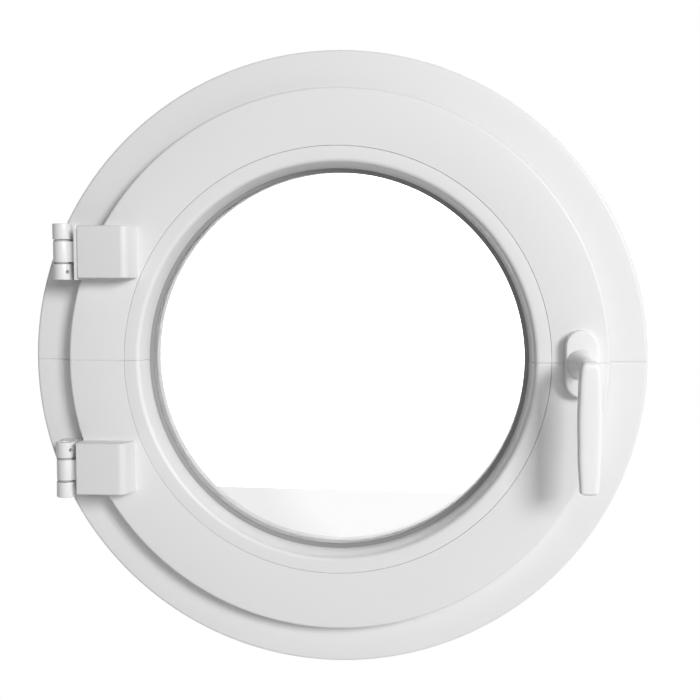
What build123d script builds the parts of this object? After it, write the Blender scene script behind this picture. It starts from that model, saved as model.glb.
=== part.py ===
from build123d import *
import math
import os

os.makedirs("parts", exist_ok=True)

# Round inward-opening casement window with its frame, seen from the room.
# X points right and Z up. The room is on the -Y side and the outdoors on the +Y side.
# The origin is the centre of the frame ring, at half the frame's depth.

# Frame ring
frame_radius = 300.0
frame_depth = 70.0
frame_wall = 46.0
frame_lip_height = 20.0
frame_lip_thickness = 11.0
frame_edge_round = 3.0
frame_back_round = 1.2
anchor_groove_width = 6.0
anchor_groove_depth = 3.0
anchor_groove_offset = 19.0
drain_slot_length = 28.0
drain_slot_height = 5.0
drain_slot_sill = 1.0
drain_slot_angle = 13.0

# Sash ring
rebate_gap = 12.0
flange_overlap = 8.0
flange_thickness = 14.0
flange_gap = 3.0
sash_back_gap = 4.0
sash_face_width = 55.0
sash_edge_round = 4.0
sash_back_chamfer = 3.0
glazing_lip_height = 20.0
glazing_lip_thickness = 16.0
weld_groove_width = 1.4
weld_groove_depth = 0.6

# Hardware groove round the sash, and what runs in it
groove_inset = 5.0
faceplate_width = 16.0
faceplate_thickness = 2.0
bar_groove_width = 12.0
bar_groove_depth = 12.0

# Seals
seal_foot_width = 3.0
seal_foot_depth = 3.0
seal_play = 0.3
glass_seal_thickness = 4.0
glass_seal_lip = 3.5
glass_seal_grip = 7.5

# Glazing
pane_thickness = 4.0
cavity_width = 16.0
glass_edge_gap = 5.0
spacer_width = 7.5
sealant_width = 5.0
block_length = 60.0
block_angle = 30.0

# Glazing bead
bead_face_width = 15.0
bead_nose_round = 2.5
bead_sole_width = 13.0
bead_clip_depth = 3.0
bead_clip_width = 3.0
bead_clip_offset = 5.0
bead_joint = 0.4

# Hinges
hinge_rise = 106.0
barrel_rim_gap = 15.8
barrel_stand_off = 25.0
knuckle_radius = 9.2
sash_knuckle_radius = 8.8
stack_height = 54.0
knuckle_height = 15.0
knuckle_gap = 2.2
hinge_pin_radius = 3.5
bush_wall = 1.5
bush_flange_wall = 3.2
leaf_thickness = 5.0
leaf_web_width = 12.0
leaf_rim_margin = 2.0
grub_screw_radius = 2.0
grub_screw_length = 4.5
leaf_screw_pitch = 11.0
leaf_screw_length = 28.0
sash_leaf_thickness = 4.0
sash_leaf_screw_length = 10.0
jamb_wall = 3.0
jamb_height = 49.0
jamb_shift = 2.6
arm_thickness = 8.0
cover_width = 53.5
cover_front_width = 48.0
cover_height = 48.5
cover_shift = 1.2
cover_depth = 20.0
cover_wall = 1.8
cover_side_round = 9.0
cover_edge_round = 1.4
upper_cover_offset = 17.9
lower_cover_offset = 13.5

# Espagnolette gear
backset = 8.5
gear_module = 1.0
pinion_teeth = 16
pressure_angle = 20.0
tooth_addendum = 0.9
tooth_dedendum = 1.25
backlash = 0.3
handle_travel = 90.0
pinion_width = 8.0
hub_radius = 6.0
journal_radius = 5.5
journal_play = 0.05
spindle_size = 7.0
case_wall = 1.4
case_end_play = 1.05
bar_thickness = 2.5
bar_play = 0.3
bar_half_angle = 18.5
rack_strip_thickness = 3.2
leg_thickness = 3.0
leg_clearance = 1.5
faceplate_half_angle = 25.0
cam_angle = 14.5
cam_radius = 5.0
cam_peg_radius = 3.0
cam_height = 6.2
cam_lift = 0.4
keep_plate = 2.0
keep_hook = 1.6
keep_hook_width = 2.5
keep_width = 20.0
keep_half_angle = 5.2
keep_screw_length = 22.0

# Handle
rosette_width = 30.0
rosette_height = 64.0
rosette_depth = 11.0
rosette_wall = 1.6
rosette_round = 2.0
rosette_screw_pitch = 43.0
base_plate_thickness = 3.0
base_margin = 0.4
collar_radius = 10.5
collar_height = 5.0
stem_radius = 8.0
stem_play = 0.06
neck_base_radius = 14.0
neck_radius = 8.2
neck_gap = 0.4
grip_drop = 115.0
grip_rise = 8.0
grip_reach = 57.0
grip_thickness = 14.0
grip_top_width = 17.5
grip_mid_width = 21.5
grip_end_width = 17.0
grip_mid_drop = 45.0
grip_end_round = 2.0

# Fasteners
screw_radius = 2.1
screw_head_radius = 4.0
screw_head_height = 2.2
screw_head_edge = 0.3
machine_screw_radius = 2.5
machine_head_radius = 4.6
fit_gap = 0.05

# Depths worked out from the sizes above
frame_face = -frame_depth / 2
frame_back = frame_depth / 2
frame_lip_face = frame_back - frame_lip_thickness
flange_back = frame_face - flange_gap
sash_face = flange_back - flange_thickness
sash_back = frame_lip_face - sash_back_gap
glazing_lip_face = sash_back - glazing_lip_thickness
outer_pane_face = glazing_lip_face - glass_seal_thickness
cavity_back = outer_pane_face - pane_thickness
cavity_front = cavity_back - cavity_width
inner_pane_face = cavity_front - pane_thickness
bead_back = inner_pane_face - glass_seal_thickness
groove_room_side = flange_back + groove_inset
groove_centre = groove_room_side + faceplate_width / 2

# Radii worked out from the sizes above
rebate_radius = frame_radius - frame_wall
frame_lip_radius = rebate_radius - frame_lip_height
sash_radius = rebate_radius - rebate_gap
flange_radius = rebate_radius + flange_overlap
bead_line_radius = flange_radius - sash_face_width
sight_radius = bead_line_radius - glazing_lip_height
glass_radius = bead_line_radius - glass_edge_gap
daylight_radius = sight_radius - glass_seal_lip
bead_face_radius = bead_line_radius - bead_face_width
faceplate_back_radius = sash_radius - faceplate_thickness
frame_seal_radius = (frame_lip_radius + sash_radius) / 2
sash_seal_radius = (rebate_radius + flange_radius) / 2

# The hinge barrels stand a set way in from the frame's rim
barrel_x = -math.sqrt((frame_radius - barrel_rim_gap) ** 2 - hinge_rise**2)

# The handle's axis, and the rack that its pinion drives
axis_x = sash_radius - backset
pinion_pitch_radius = gear_module * pinion_teeth / 2
rack_pitch_radius = axis_x - pinion_pitch_radius
rack_teeth = 2 * rack_pitch_radius / gear_module
bar_outer_radius = faceplate_back_radius - bar_play
bar_inner_radius = bar_outer_radius - bar_thickness
bar_width = bar_groove_width - 2 * bar_play
bar_travel_angle = handle_travel * pinion_teeth / rack_teeth
bar_travel = math.radians(bar_travel_angle) * rack_pitch_radius
centre = (0.0, 0.0)

# The bar's two legs clear the pinion at either end of the travel, and the case clears the legs
pinion_reach = pinion_pitch_radius + tooth_addendum * gear_module + leg_clearance
low_leg = -math.degrees((pinion_reach + bar_travel) / rack_pitch_radius)
high_leg = math.degrees(pinion_reach / rack_pitch_radius)
leg_angle = math.degrees(leg_thickness / rack_pitch_radius)
leg_end = bar_outer_radius * math.sin(math.radians(leg_angle - low_leg))
case_half_length = leg_end + case_end_play + case_wall


def at_depth(depth):
    """Plane facing the room at a given depth, with X to the right and Z up."""
    return Plane.XZ.offset(-depth)


def radial_plane(radius, angle, depth, facing=1):
    """Plane at a radius, an angle and a depth, facing away from the axis or, at -1, towards it."""
    direction = Vector(math.cos(math.radians(angle)), 0, math.sin(math.radians(angle)))
    origin = direction * radius + Vector(0, depth, 0)
    return Plane(origin=origin, x_dir=(0, 1, 0), z_dir=direction * facing)


def polar(radius, angle):
    """Point at a radius and an angle in degrees."""
    return (radius * math.cos(math.radians(angle)), radius * math.sin(math.radians(angle)))


def arc_band(inner, outer, start, end):
    """Face between two radii and two angles, drawn about the ring's centre."""
    with BuildLine() as outline:
        CenterArc(centre, inner, start, end - start)
        CenterArc(centre, outer, start, end - start)
        Line(polar(inner, start), polar(outer, start))
        Line(polar(inner, end), polar(outer, end))
    make_face(outline.edges())


def section(points):
    """Face of a ring's profile, drawn as radius and depth."""
    with BuildLine() as outline:
        Polyline(*points, close=True)
    make_face(outline.edges())


def weld_grooves(depth):
    """Cuts the V grooves left by the two welds of a bent ring's face."""
    half = weld_groove_width / 2
    with BuildSketch(Plane.YZ) as groove:
        with BuildLine():
            Polyline((depth - 0.1, -half), (depth + weld_groove_depth, 0), (depth - 0.1, half), close=True)
        make_face()
    extrude(groove.sketch, amount=frame_radius + 1, both=True, mode=Mode.SUBTRACT)


def countersunk(plane, length, radius=screw_radius, head=screw_head_radius):
    """Countersunk screw that goes in from a plane, against its normal."""
    turned_screw(plane, length, radius, head, 0.0, Mode.ADD)


def countersunk_hole(plane, length, radius=screw_radius, head=screw_head_radius):
    """Hole for a countersunk screw, with a little play and an open mouth."""
    turned_screw(plane, length, radius + fit_gap, head + fit_gap, 0.5, Mode.SUBTRACT)


def turned_screw(plane, length, radius, head, mouth, mode):
    """Turned form of a screw or of its hole, added to or cut from the piece in hand."""
    with BuildPart(mode=Mode.PRIVATE) as screw:
        with BuildSketch(Plane.XZ):
            with BuildLine():
                Polyline(
                    (0, mouth), (head, mouth), (head, -screw_head_edge), (radius, -screw_head_height),
                    (radius, -length), (0, -length), close=True,
                )
            make_face()
        revolve(axis=Axis.Z)
    with Locations(plane):
        add(screw.part, mode=mode)


def save(piece, name):
    """Labels a finished piece and writes it."""
    piece.part.label = name
    export_step(piece.part, "parts/" + name + ".step")


# Frame ring: an L profile bent round and welded on the horizontal diameter
def make_frame_ring():
    groove_low = anchor_groove_offset - anchor_groove_width / 2
    groove_high = anchor_groove_offset + anchor_groove_width / 2
    floor = frame_radius - anchor_groove_depth
    seal_low = frame_seal_radius - seal_foot_width / 2
    seal_high = frame_seal_radius + seal_foot_width / 2
    seal_floor = frame_lip_face + seal_foot_depth
    with BuildPart() as frame_ring:
        with BuildSketch(Plane.XY) as profile:
            section([
                (rebate_radius, frame_face), (frame_radius, frame_face),
                (frame_radius, -groove_high), (floor, -groove_high),
                (floor, -groove_low), (frame_radius, -groove_low),
                (frame_radius, groove_low), (floor, groove_low),
                (floor, groove_high), (frame_radius, groove_high),
                (frame_radius, frame_back), (frame_lip_radius, frame_back),
                (frame_lip_radius, frame_lip_face), (seal_low, frame_lip_face),
                (seal_low, seal_floor), (seal_high, seal_floor),
                (seal_high, frame_lip_face), (rebate_radius, frame_lip_face),
            ])
            room_corner = profile.vertices().group_by(Axis.Y)[0].sort_by(Axis.X)[-1]
            fillet(room_corner, frame_edge_round)
            back_corners = profile.vertices().group_by(Axis.Y)[-1]
            fillet(back_corners, frame_back_round)
        revolve(axis=Axis.Y)
        weld_grooves(frame_face)
        slot_radius = rebate_radius - drain_slot_sill - drain_slot_height / 2
        with BuildSketch(at_depth(frame_back)):
            for angle in (-90 - drain_slot_angle, -90 + drain_slot_angle):
                with Locations(Location((*polar(slot_radius, angle), 0), angle + 90)):
                    SlotOverall(drain_slot_length, drain_slot_height)
        extrude(amount=-frame_lip_thickness, mode=Mode.SUBTRACT)
        for angle in keep_screw_angles():
            plane = radial_plane(rebate_radius - keep_plate, angle, groove_centre, -1)
            countersunk_hole(plane, keep_screw_length)
        for plane in frame_leaf_screw_planes():
            with Locations(plane.offset(-leaf_thickness)):
                Cylinder(
                    screw_radius + fit_gap,
                    leaf_screw_length - leaf_thickness,
                    align=(Align.CENTER, Align.CENTER, Align.MAX),
                    mode=Mode.SUBTRACT,
                )
    save(frame_ring, "frame_ring")


def keep_centres():
    """Angles of the two keeps, each centred on its cam's travel."""
    return (cam_angle + bar_travel_angle / 2, -cam_angle + bar_travel_angle / 2)


def keep_screw_angles():
    """Angles of the screws, one near each end of each keep."""
    offset = keep_half_angle - 1.3
    return [middle + side * offset for middle in keep_centres() for side in (-1, 1)]


def frame_leaf_screw_planes():
    """Planes of the frame leaf screws, which lie behind the middle knuckle."""
    depth = frame_face - leaf_thickness
    planes = []
    for up in (1, -1):
        for side in (-1, 1):
            height = up * hinge_rise + side * leaf_screw_pitch / 2
            planes.append(Plane(origin=(barrel_x, depth, height), x_dir=(1, 0, 0), z_dir=(0, -1, 0)))
    return planes


# Sash ring: a Z profile whose flange laps over the frame
def make_sash_ring():
    plate_low = groove_room_side
    plate_high = plate_low + faceplate_width
    bar_low = groove_centre - bar_groove_width / 2
    bar_high = groove_centre + bar_groove_width / 2
    bar_floor = sash_radius - bar_groove_depth
    seal_low = sash_seal_radius - seal_foot_width / 2
    seal_high = sash_seal_radius + seal_foot_width / 2
    seal_floor = flange_back - seal_foot_depth
    foot_low = sight_radius + seal_foot_width
    foot_high = foot_low + seal_foot_width
    clip_high = bead_back - bead_clip_offset
    clip_low = clip_high - bead_clip_width
    clip_floor = bead_line_radius + bead_clip_depth
    with BuildPart() as sash_ring:
        with BuildSketch(Plane.XY) as profile:
            section([
                (bead_line_radius, sash_face), (flange_radius, sash_face),
                (flange_radius, flange_back), (seal_high, flange_back),
                (seal_high, seal_floor), (seal_low, seal_floor),
                (seal_low, flange_back), (sash_radius, flange_back),
                (sash_radius, plate_low), (faceplate_back_radius, plate_low),
                (faceplate_back_radius, bar_low), (bar_floor, bar_low),
                (bar_floor, bar_high), (faceplate_back_radius, bar_high),
                (faceplate_back_radius, plate_high), (sash_radius, plate_high),
                (sash_radius, sash_back), (sight_radius + sash_back_chamfer, sash_back),
                (sight_radius, sash_back - sash_back_chamfer), (sight_radius, glazing_lip_face),
                (foot_low, glazing_lip_face), (foot_low, glazing_lip_face + seal_foot_depth),
                (foot_high, glazing_lip_face + seal_foot_depth), (foot_high, glazing_lip_face),
                (bead_line_radius, glazing_lip_face), (bead_line_radius, clip_high),
                (clip_floor, clip_high), (clip_floor, clip_low), (bead_line_radius, clip_low),
            ])
            room_corner = profile.vertices().group_by(Axis.Y)[0].sort_by(Axis.X)[-1]
            fillet(room_corner, sash_edge_round)
        revolve(axis=Axis.Y)
        weld_grooves(sash_face)
        # Pocket milled for the gear case, and the holes drilled from the room side
        pocket_inner = case_inner_x() - bar_play
        pocket_half_width = faceplate_width / 2
        with BuildSketch(at_depth(groove_centre + pocket_half_width)):
            with Locations((pocket_inner, 0)):
                Rectangle(
                    sash_radius - pocket_inner,
                    2 * (case_half_length + bar_play),
                    align=(Align.MIN, Align.CENTER),
                )
        extrude(amount=2 * pocket_half_width, mode=Mode.SUBTRACT)
        with BuildSketch(at_depth(sash_face)):
            with Locations((axis_x, 0)):
                Circle(hub_radius + 0.5)
            with Locations((axis_x, rosette_screw_pitch / 2), (axis_x, -rosette_screw_pitch / 2)):
                Circle(machine_screw_radius + 0.3)
        extrude(amount=-(groove_centre - sash_face), mode=Mode.SUBTRACT)
        for plane in sash_leaf_screw_planes():
            with Locations(plane.offset(-sash_leaf_thickness)):
                Cylinder(
                    screw_radius + fit_gap,
                    sash_leaf_screw_length,
                    align=(Align.CENTER, Align.CENTER, Align.MAX),
                    mode=Mode.SUBTRACT,
                )
        for angle in faceplate_screw_angles():
            with Locations(radial_plane(sash_radius, angle, groove_centre)):
                Cylinder(
                    screw_radius + fit_gap,
                    faceplate_screw_length(),
                    align=(Align.CENTER, Align.CENTER, Align.MAX),
                    mode=Mode.SUBTRACT,
                )
    save(sash_ring, "sash_ring")


def case_half_width():
    """Half the gear case's thickness, across its two side plates."""
    return bar_groove_width / 2 + case_wall


def case_inner_x():
    """Inner face of the gear case, behind the strip that carries the rack."""
    reach = case_half_length - case_wall
    return math.sqrt(rack_strip_inner_radius() ** 2 - reach**2) - bar_play - case_wall


def rack_strip_inner_radius():
    """Inner radius of the strip that carries the rack teeth."""
    return rack_pitch_radius - tooth_dedendum * gear_module - rack_strip_thickness


def faceplate_screw_length():
    """Length that takes a faceplate screw past the bar's groove and into the profile."""
    return bar_groove_depth + 9.0


def faceplate_screw_angles():
    """Angles of the screws beyond the bar's two ends."""
    middle = (faceplate_half_angle + bar_half_angle + bar_travel_angle) / 2 + 0.4
    return (middle, -(faceplate_half_angle + bar_half_angle) / 2)


def sash_leaf_screw_planes():
    """Planes of the three screws through each sash leaf."""
    depth = sash_face - sash_leaf_thickness
    planes = []
    for up, offset in ((1, upper_cover_offset), (-1, lower_cover_offset)):
        left = barrel_x + offset + cover_width / 2 - 4.0
        right = barrel_x + offset + cover_width - 9.0
        spots = ((left, hinge_rise - 12), (right, hinge_rise - 12), (right, hinge_rise + 12))
        for across, height in spots:
            planes.append(Plane(origin=(across, depth, up * height), x_dir=(1, 0, 0), z_dir=(0, -1, 0)))
    return planes


# Rubber seals between frame and sash
def make_rebate_seals():
    foot = seal_foot_width / 2 - fit_gap
    with BuildPart() as frame_seal:
        with BuildSketch(Plane.XY):
            tip = sash_back + seal_play
            section([
                (frame_seal_radius - foot, frame_lip_face + seal_foot_depth - fit_gap),
                (frame_seal_radius - foot, frame_lip_face),
                (frame_lip_radius + 0.6, frame_lip_face),
                (frame_lip_radius + 0.3, frame_lip_face - 1.4),
                (frame_seal_radius - 1.0, tip),
                (frame_seal_radius + 1.6, tip),
                (frame_seal_radius + 3.4, frame_lip_face - 1.6),
                (frame_seal_radius + 3.0, frame_lip_face),
                (frame_seal_radius + foot, frame_lip_face),
                (frame_seal_radius + foot, frame_lip_face + seal_foot_depth - fit_gap),
            ])
        revolve(axis=Axis.Y)
    save(frame_seal, "frame_seal")

    with BuildPart() as sash_seal:
        with BuildSketch(Plane.XY):
            tip = frame_face - seal_play
            section([
                (sash_seal_radius - foot, flange_back - seal_foot_depth + fit_gap),
                (sash_seal_radius - foot, flange_back),
                (sash_seal_radius - 2.6, flange_back),
                (sash_seal_radius - 2.4, flange_back + 1.2),
                (sash_seal_radius - 0.6, tip),
                (sash_seal_radius + 1.8, tip),
                (sash_seal_radius + 3.2, flange_back + 1.0),
                (sash_seal_radius + 2.8, flange_back),
                (sash_seal_radius + foot, flange_back),
                (sash_seal_radius + foot, flange_back - seal_foot_depth + fit_gap),
            ])
        revolve(axis=Axis.Y)
    save(sash_seal, "sash_seal")


# Sealed glazing unit, its seals and the blocks it stands on
def make_glazing():
    with BuildPart() as inner_pane:
        with BuildSketch(at_depth(cavity_front)):
            Circle(glass_radius)
        extrude(amount=pane_thickness)
    save(inner_pane, "inner_pane")

    with BuildPart() as outer_pane:
        with BuildSketch(at_depth(outer_pane_face)):
            Circle(glass_radius)
        extrude(amount=pane_thickness)
    save(outer_pane, "outer_pane")

    sealant_inner = glass_radius - sealant_width
    with BuildPart() as edge_sealant:
        with BuildSketch(at_depth(cavity_back)):
            Circle(glass_radius)
            Circle(sealant_inner, mode=Mode.SUBTRACT)
        extrude(amount=cavity_width)
    save(edge_sealant, "edge_sealant")

    with BuildPart() as spacer_bar:
        with BuildSketch(at_depth(cavity_back)):
            Circle(sealant_inner)
            Circle(sealant_inner - spacer_width, mode=Mode.SUBTRACT)
        extrude(amount=cavity_width)
        inner_edges = spacer_bar.edges().filter_by(GeomType.CIRCLE).group_by(SortBy.RADIUS)[0]
        chamfer(inner_edges, 1.5)
    save(spacer_bar, "spacer_bar")

    half_angle = math.degrees(block_length / 2 / glass_radius)
    with BuildPart() as setting_blocks:
        with BuildSketch(at_depth(outer_pane_face)):
            for middle in (-90 - block_angle, -90 + block_angle, block_angle, 180 - block_angle):
                arc_band(
                    glass_radius + fit_gap,
                    bead_line_radius - fit_gap,
                    middle - half_angle,
                    middle + half_angle,
                )
        extrude(amount=outer_pane_face - inner_pane_face)
    save(setting_blocks, "setting_blocks")

    grip_radius = daylight_radius + glass_seal_grip
    with BuildPart() as inner_glazing_seal:
        with BuildSketch(Plane.XY):
            section([
                (grip_radius, inner_pane_face), (daylight_radius, inner_pane_face),
                (daylight_radius + 0.3, inner_pane_face - 2.0),
                (sight_radius + 0.4, bead_back), (grip_radius, bead_back),
            ])
        revolve(axis=Axis.Y)
    save(inner_glazing_seal, "inner_glazing_seal")

    foot_low = sight_radius + seal_foot_width + fit_gap
    foot_high = sight_radius + 2 * seal_foot_width - fit_gap
    foot_floor = glazing_lip_face + seal_foot_depth - fit_gap
    with BuildPart() as outer_glazing_seal:
        with BuildSketch(Plane.XY):
            section([
                (daylight_radius, outer_pane_face), (foot_high + 2.0, outer_pane_face),
                (foot_high + 2.0, glazing_lip_face), (foot_high, glazing_lip_face),
                (foot_high, foot_floor), (foot_low, foot_floor),
                (foot_low, glazing_lip_face), (sight_radius, glazing_lip_face),
                (daylight_radius + 0.3, outer_pane_face + 2.0),
            ])
        revolve(axis=Axis.Y)
    save(outer_glazing_seal, "outer_glazing_seal")


# Glazing bead: two half rings with a slanted reveal and a clip that snaps into the sash
def make_beads():
    back = bead_line_radius - fit_gap
    clip_high = bead_back - bead_clip_offset - fit_gap
    clip_low = clip_high - bead_clip_width + 2 * fit_gap
    clip_tip = bead_line_radius + bead_clip_depth - fit_gap
    for name, keep in (("upper_bead", Keep.TOP), ("lower_bead", Keep.BOTTOM)):
        side = 1 if keep == Keep.TOP else -1
        with BuildPart() as bead:
            with BuildSketch(Plane.XY) as profile:
                section([
                    (back, sash_face), (bead_face_radius, sash_face),
                    (sight_radius + 0.4, bead_back), (sight_radius + bead_sole_width, bead_back),
                    (sight_radius + bead_sole_width, clip_low), (back - 2.0, clip_high),
                    (back, clip_high), (clip_tip, clip_high), (clip_tip, clip_low + 0.8),
                    (back, clip_low),
                ])
                nose = profile.vertices().group_by(Axis.Y)[0].sort_by(Axis.X)[0]
                fillet(nose, bead_nose_round)
            revolve(axis=Axis.Y)
            split(bisect_by=Plane.XY.offset(side * bead_joint / 2), keep=keep)
        save(bead, name)


# One hinge: frame leaf, pin, bush, sash leaf and cover. The lower cover also hides the upright wall
def make_hinge(name, up, cover_offset):
    barrel_y = frame_face - barrel_stand_off
    middle_half = stack_height / 2 - knuckle_height - knuckle_gap
    middle_plane = Plane.XY.offset(up * hinge_rise)
    leaf_front = frame_face - leaf_thickness

    def outer_knuckle_planes():
        low = Plane.XY.offset(up * hinge_rise - stack_height / 2)
        high = Plane.XY.offset(up * hinge_rise + stack_height / 2 - knuckle_height)
        return low, high

    with BuildPart() as frame_leaf:
        # Plate, kept within the frame's rim and clear of the sash's flange
        with BuildSketch(at_depth(frame_face)):
            with Locations((barrel_x, up * hinge_rise)):
                Rectangle(2 * knuckle_radius, stack_height)
            Circle(frame_radius - leaf_rim_margin, mode=Mode.INTERSECT)
            Circle(flange_radius + 1.3, mode=Mode.SUBTRACT)
        extrude(amount=leaf_thickness)
        for plane in outer_knuckle_planes():
            with BuildSketch(plane):
                with Locations((barrel_x, barrel_y)):
                    Circle(knuckle_radius)
                with Locations((barrel_x, (barrel_y + leaf_front) / 2)):
                    Rectangle(leaf_web_width, leaf_front - barrel_y + 0.2)
            extrude(amount=knuckle_height)
        with BuildSketch(Plane.XY.offset(up * hinge_rise - stack_height)):
            with Locations((barrel_x, barrel_y)):
                Circle(hinge_pin_radius)
        extrude(amount=2 * stack_height, mode=Mode.SUBTRACT)
        with Locations(grub_plane(up, barrel_y)):
            Cylinder(
                grub_screw_radius,
                knuckle_radius,
                align=(Align.CENTER, Align.CENTER, Align.MIN),
                mode=Mode.SUBTRACT,
            )
        for plane in frame_leaf_screw_planes():
            if plane.origin.Z * up > 0:
                countersunk_hole(plane, leaf_screw_length)
        ends = frame_leaf.faces().filter_by(Axis.Z).sort_by(Axis.Z)
        rims = (ends[0].edges() + ends[-1].edges()).filter_by(GeomType.CIRCLE)
        chamfer(rims.filter_by(lambda edge: edge.radius > hinge_pin_radius + 1), 0.5)
    save(frame_leaf, name + "_frame_leaf")

    with BuildPart() as hinge_pin:
        with BuildSketch(Plane.XY.offset(up * hinge_rise - stack_height / 2 + 0.5)):
            with Locations((barrel_x, barrel_y)):
                Circle(hinge_pin_radius - fit_gap)
        extrude(amount=stack_height - 1.0)
        chamfer(hinge_pin.edges().filter_by(GeomType.CIRCLE), 0.6)
    save(hinge_pin, name + "_hinge_pin")

    bush_radius = hinge_pin_radius + bush_wall
    with BuildPart() as hinge_bush:
        flange_height = knuckle_gap - 2 * seal_play
        with BuildSketch(Plane.XY.offset(up * hinge_rise - middle_half - flange_height)):
            with Locations((barrel_x, barrel_y)):
                Circle(bush_radius - fit_gap)
        extrude(amount=2 * (middle_half + flange_height))
        for low in (up * hinge_rise - middle_half - flange_height, up * hinge_rise + middle_half):
            with BuildSketch(Plane.XY.offset(low)):
                with Locations((barrel_x, barrel_y)):
                    Circle(hinge_pin_radius + bush_flange_wall)
            extrude(amount=flange_height)
        with BuildSketch(Plane.XY.offset(up * hinge_rise - stack_height)):
            with Locations((barrel_x, barrel_y)):
                Circle(hinge_pin_radius)
        extrude(amount=2 * stack_height, mode=Mode.SUBTRACT)
    save(hinge_bush, name + "_hinge_bush")

    cover_left = barrel_x + cover_offset
    cover_middle = up * (hinge_rise - cover_shift)
    plate_height = cover_height - 4 * cover_wall
    arm_reach = sash_face - barrel_y + sash_knuckle_radius
    if up > 0:
        # The wall stands beside the cover, and only the plate passes under it
        jamb_x = cover_left - seal_play - jamb_wall
        wall_middle, wall_height = up * (hinge_rise - jamb_shift), jamb_height
        wall_reach = cover_depth - cover_edge_round
        passage_middle, passage_height = cover_middle, plate_height + 2 * seal_play
        passage_depth = sash_leaf_thickness + seal_play
    else:
        # The wall stands inside the cover, and the knuckle's arm passes through its side
        jamb_x = cover_left + cover_wall + seal_play
        wall_middle, wall_height = cover_middle, plate_height
        wall_reach = cover_depth - cover_wall - seal_play
        passage_middle, passage_height = up * hinge_rise, 2 * (middle_half + seal_play)
        passage_depth = arm_reach + seal_play
    with BuildPart() as sash_leaf:
        # Plate on the sash's face, under the cover
        with BuildSketch(at_depth(sash_face)):
            with Locations((jamb_x, cover_middle)):
                Rectangle(
                    cover_left + cover_width - 2 * cover_wall - jamb_x,
                    plate_height,
                    align=(Align.MIN, Align.CENTER),
                )
        extrude(amount=sash_leaf_thickness)
        with BuildSketch(at_depth(sash_face)):
            with Locations((jamb_x, wall_middle)):
                Rectangle(jamb_wall, wall_height, align=(Align.MIN, Align.CENTER))
        extrude(amount=wall_reach)
        # Middle knuckle and the arm that joins it to the wall
        with BuildSketch(middle_plane):
            with Locations((barrel_x, barrel_y)):
                Circle(sash_knuckle_radius)
            with Locations((barrel_x, barrel_y - sash_knuckle_radius)):
                Rectangle(
                    jamb_x - barrel_x + jamb_wall,
                    arm_thickness,
                    align=(Align.MIN, Align.MIN),
                )
        extrude(amount=middle_half, both=True)
        with BuildSketch(middle_plane):
            with Locations((barrel_x, barrel_y)):
                Circle(bush_radius)
        extrude(amount=stack_height, both=True, mode=Mode.SUBTRACT)
        for plane in sash_leaf_screw_planes():
            if plane.origin.Z * up > 0:
                countersunk_hole(plane, sash_leaf_screw_length)
    save(sash_leaf, name + "_sash_leaf")

    with BuildPart() as hinge_cover:
        # Section with its right flank sloped down to the sash
        with BuildSketch(Plane.XY.offset(cover_middle)):
            with BuildLine():
                Polyline(
                    (cover_left, sash_face),
                    (cover_left, sash_face - cover_depth),
                    (cover_left + cover_front_width, sash_face - cover_depth),
                    (cover_left + cover_width, sash_face),
                    close=True,
                )
            make_face()
        extrude(amount=cover_height / 2, both=True)
        front = hinge_cover.faces().sort_by(Axis.Y)[0]
        fillet(front.edges().sort_by(Axis.X)[-1], cover_side_round)
        front = hinge_cover.faces().sort_by(Axis.Y)[0]
        fillet(front.edges().sort_by(Axis.X)[:-1], cover_edge_round)
        offset(amount=-cover_wall, openings=hinge_cover.faces().sort_by(Axis.Y)[-1])
        with BuildSketch(at_depth(sash_face)):
            with Locations((cover_left, passage_middle)):
                Rectangle(2 * cover_wall + seal_play, passage_height)
        extrude(amount=passage_depth, mode=Mode.SUBTRACT)
    save(hinge_cover, name + "_hinge_cover")


def grub_plane(up, barrel_y):
    """Plane through the pin's axis, facing the room and the sash, at the inner knuckle."""
    height = up * (hinge_rise - stack_height / 2 + knuckle_height / 2)
    direction = Vector(math.cos(math.radians(40)), -math.sin(math.radians(40)), 0)
    return Plane(origin=(barrel_x, barrel_y, height), x_dir=(0, 0, 1), z_dir=direction)


def make_hinge_screws():
    barrel_y = frame_face - barrel_stand_off
    with BuildPart() as hinge_grub_screws:
        for up in (1, -1):
            with Locations(grub_plane(up, barrel_y).offset(hinge_pin_radius)):
                Cylinder(
                    grub_screw_radius - fit_gap,
                    grub_screw_length,
                    align=(Align.CENTER, Align.CENTER, Align.MIN),
                )
    save(hinge_grub_screws, "hinge_grub_screws")

    with BuildPart() as frame_leaf_screws:
        for plane in frame_leaf_screw_planes():
            countersunk(plane, leaf_screw_length)
    save(frame_leaf_screws, "frame_leaf_screws")

    with BuildPart() as sash_leaf_screws:
        for plane in sash_leaf_screw_planes():
            countersunk(plane, sash_leaf_screw_length)
    save(sash_leaf_screws, "sash_leaf_screws")


def involute(angle):
    """Involute function of a pressure angle in radians."""
    return math.tan(angle) - angle


def tooth(pitch_radius, middle, origin):
    """Face of one involute tooth whose middle points at an angle in degrees."""
    base = pitch_radius * math.cos(math.radians(pressure_angle))
    root = pitch_radius - (tooth_dedendum + 0.3) * gear_module
    tip = pitch_radius + tooth_addendum * gear_module
    half = (math.pi * gear_module - backlash) / 4 / pitch_radius
    steps = 5
    flank = []
    for step in range(steps + 1):
        radius = root + (tip - root) * step / steps
        at_radius = math.acos(min(1.0, base / max(radius, base)))
        flank.append((radius, half + involute(math.radians(pressure_angle)) - involute(at_radius)))
    turn = math.radians(middle)
    points = [(radius, turn - spread) for radius, spread in flank]
    points += [(radius, turn + spread) for radius, spread in reversed(flank)]
    places = [(origin + radius * math.cos(a), radius * math.sin(a)) for radius, a in points]
    with BuildLine() as outline:
        Polyline(*places, close=True)
    make_face(outline.edges())


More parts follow.
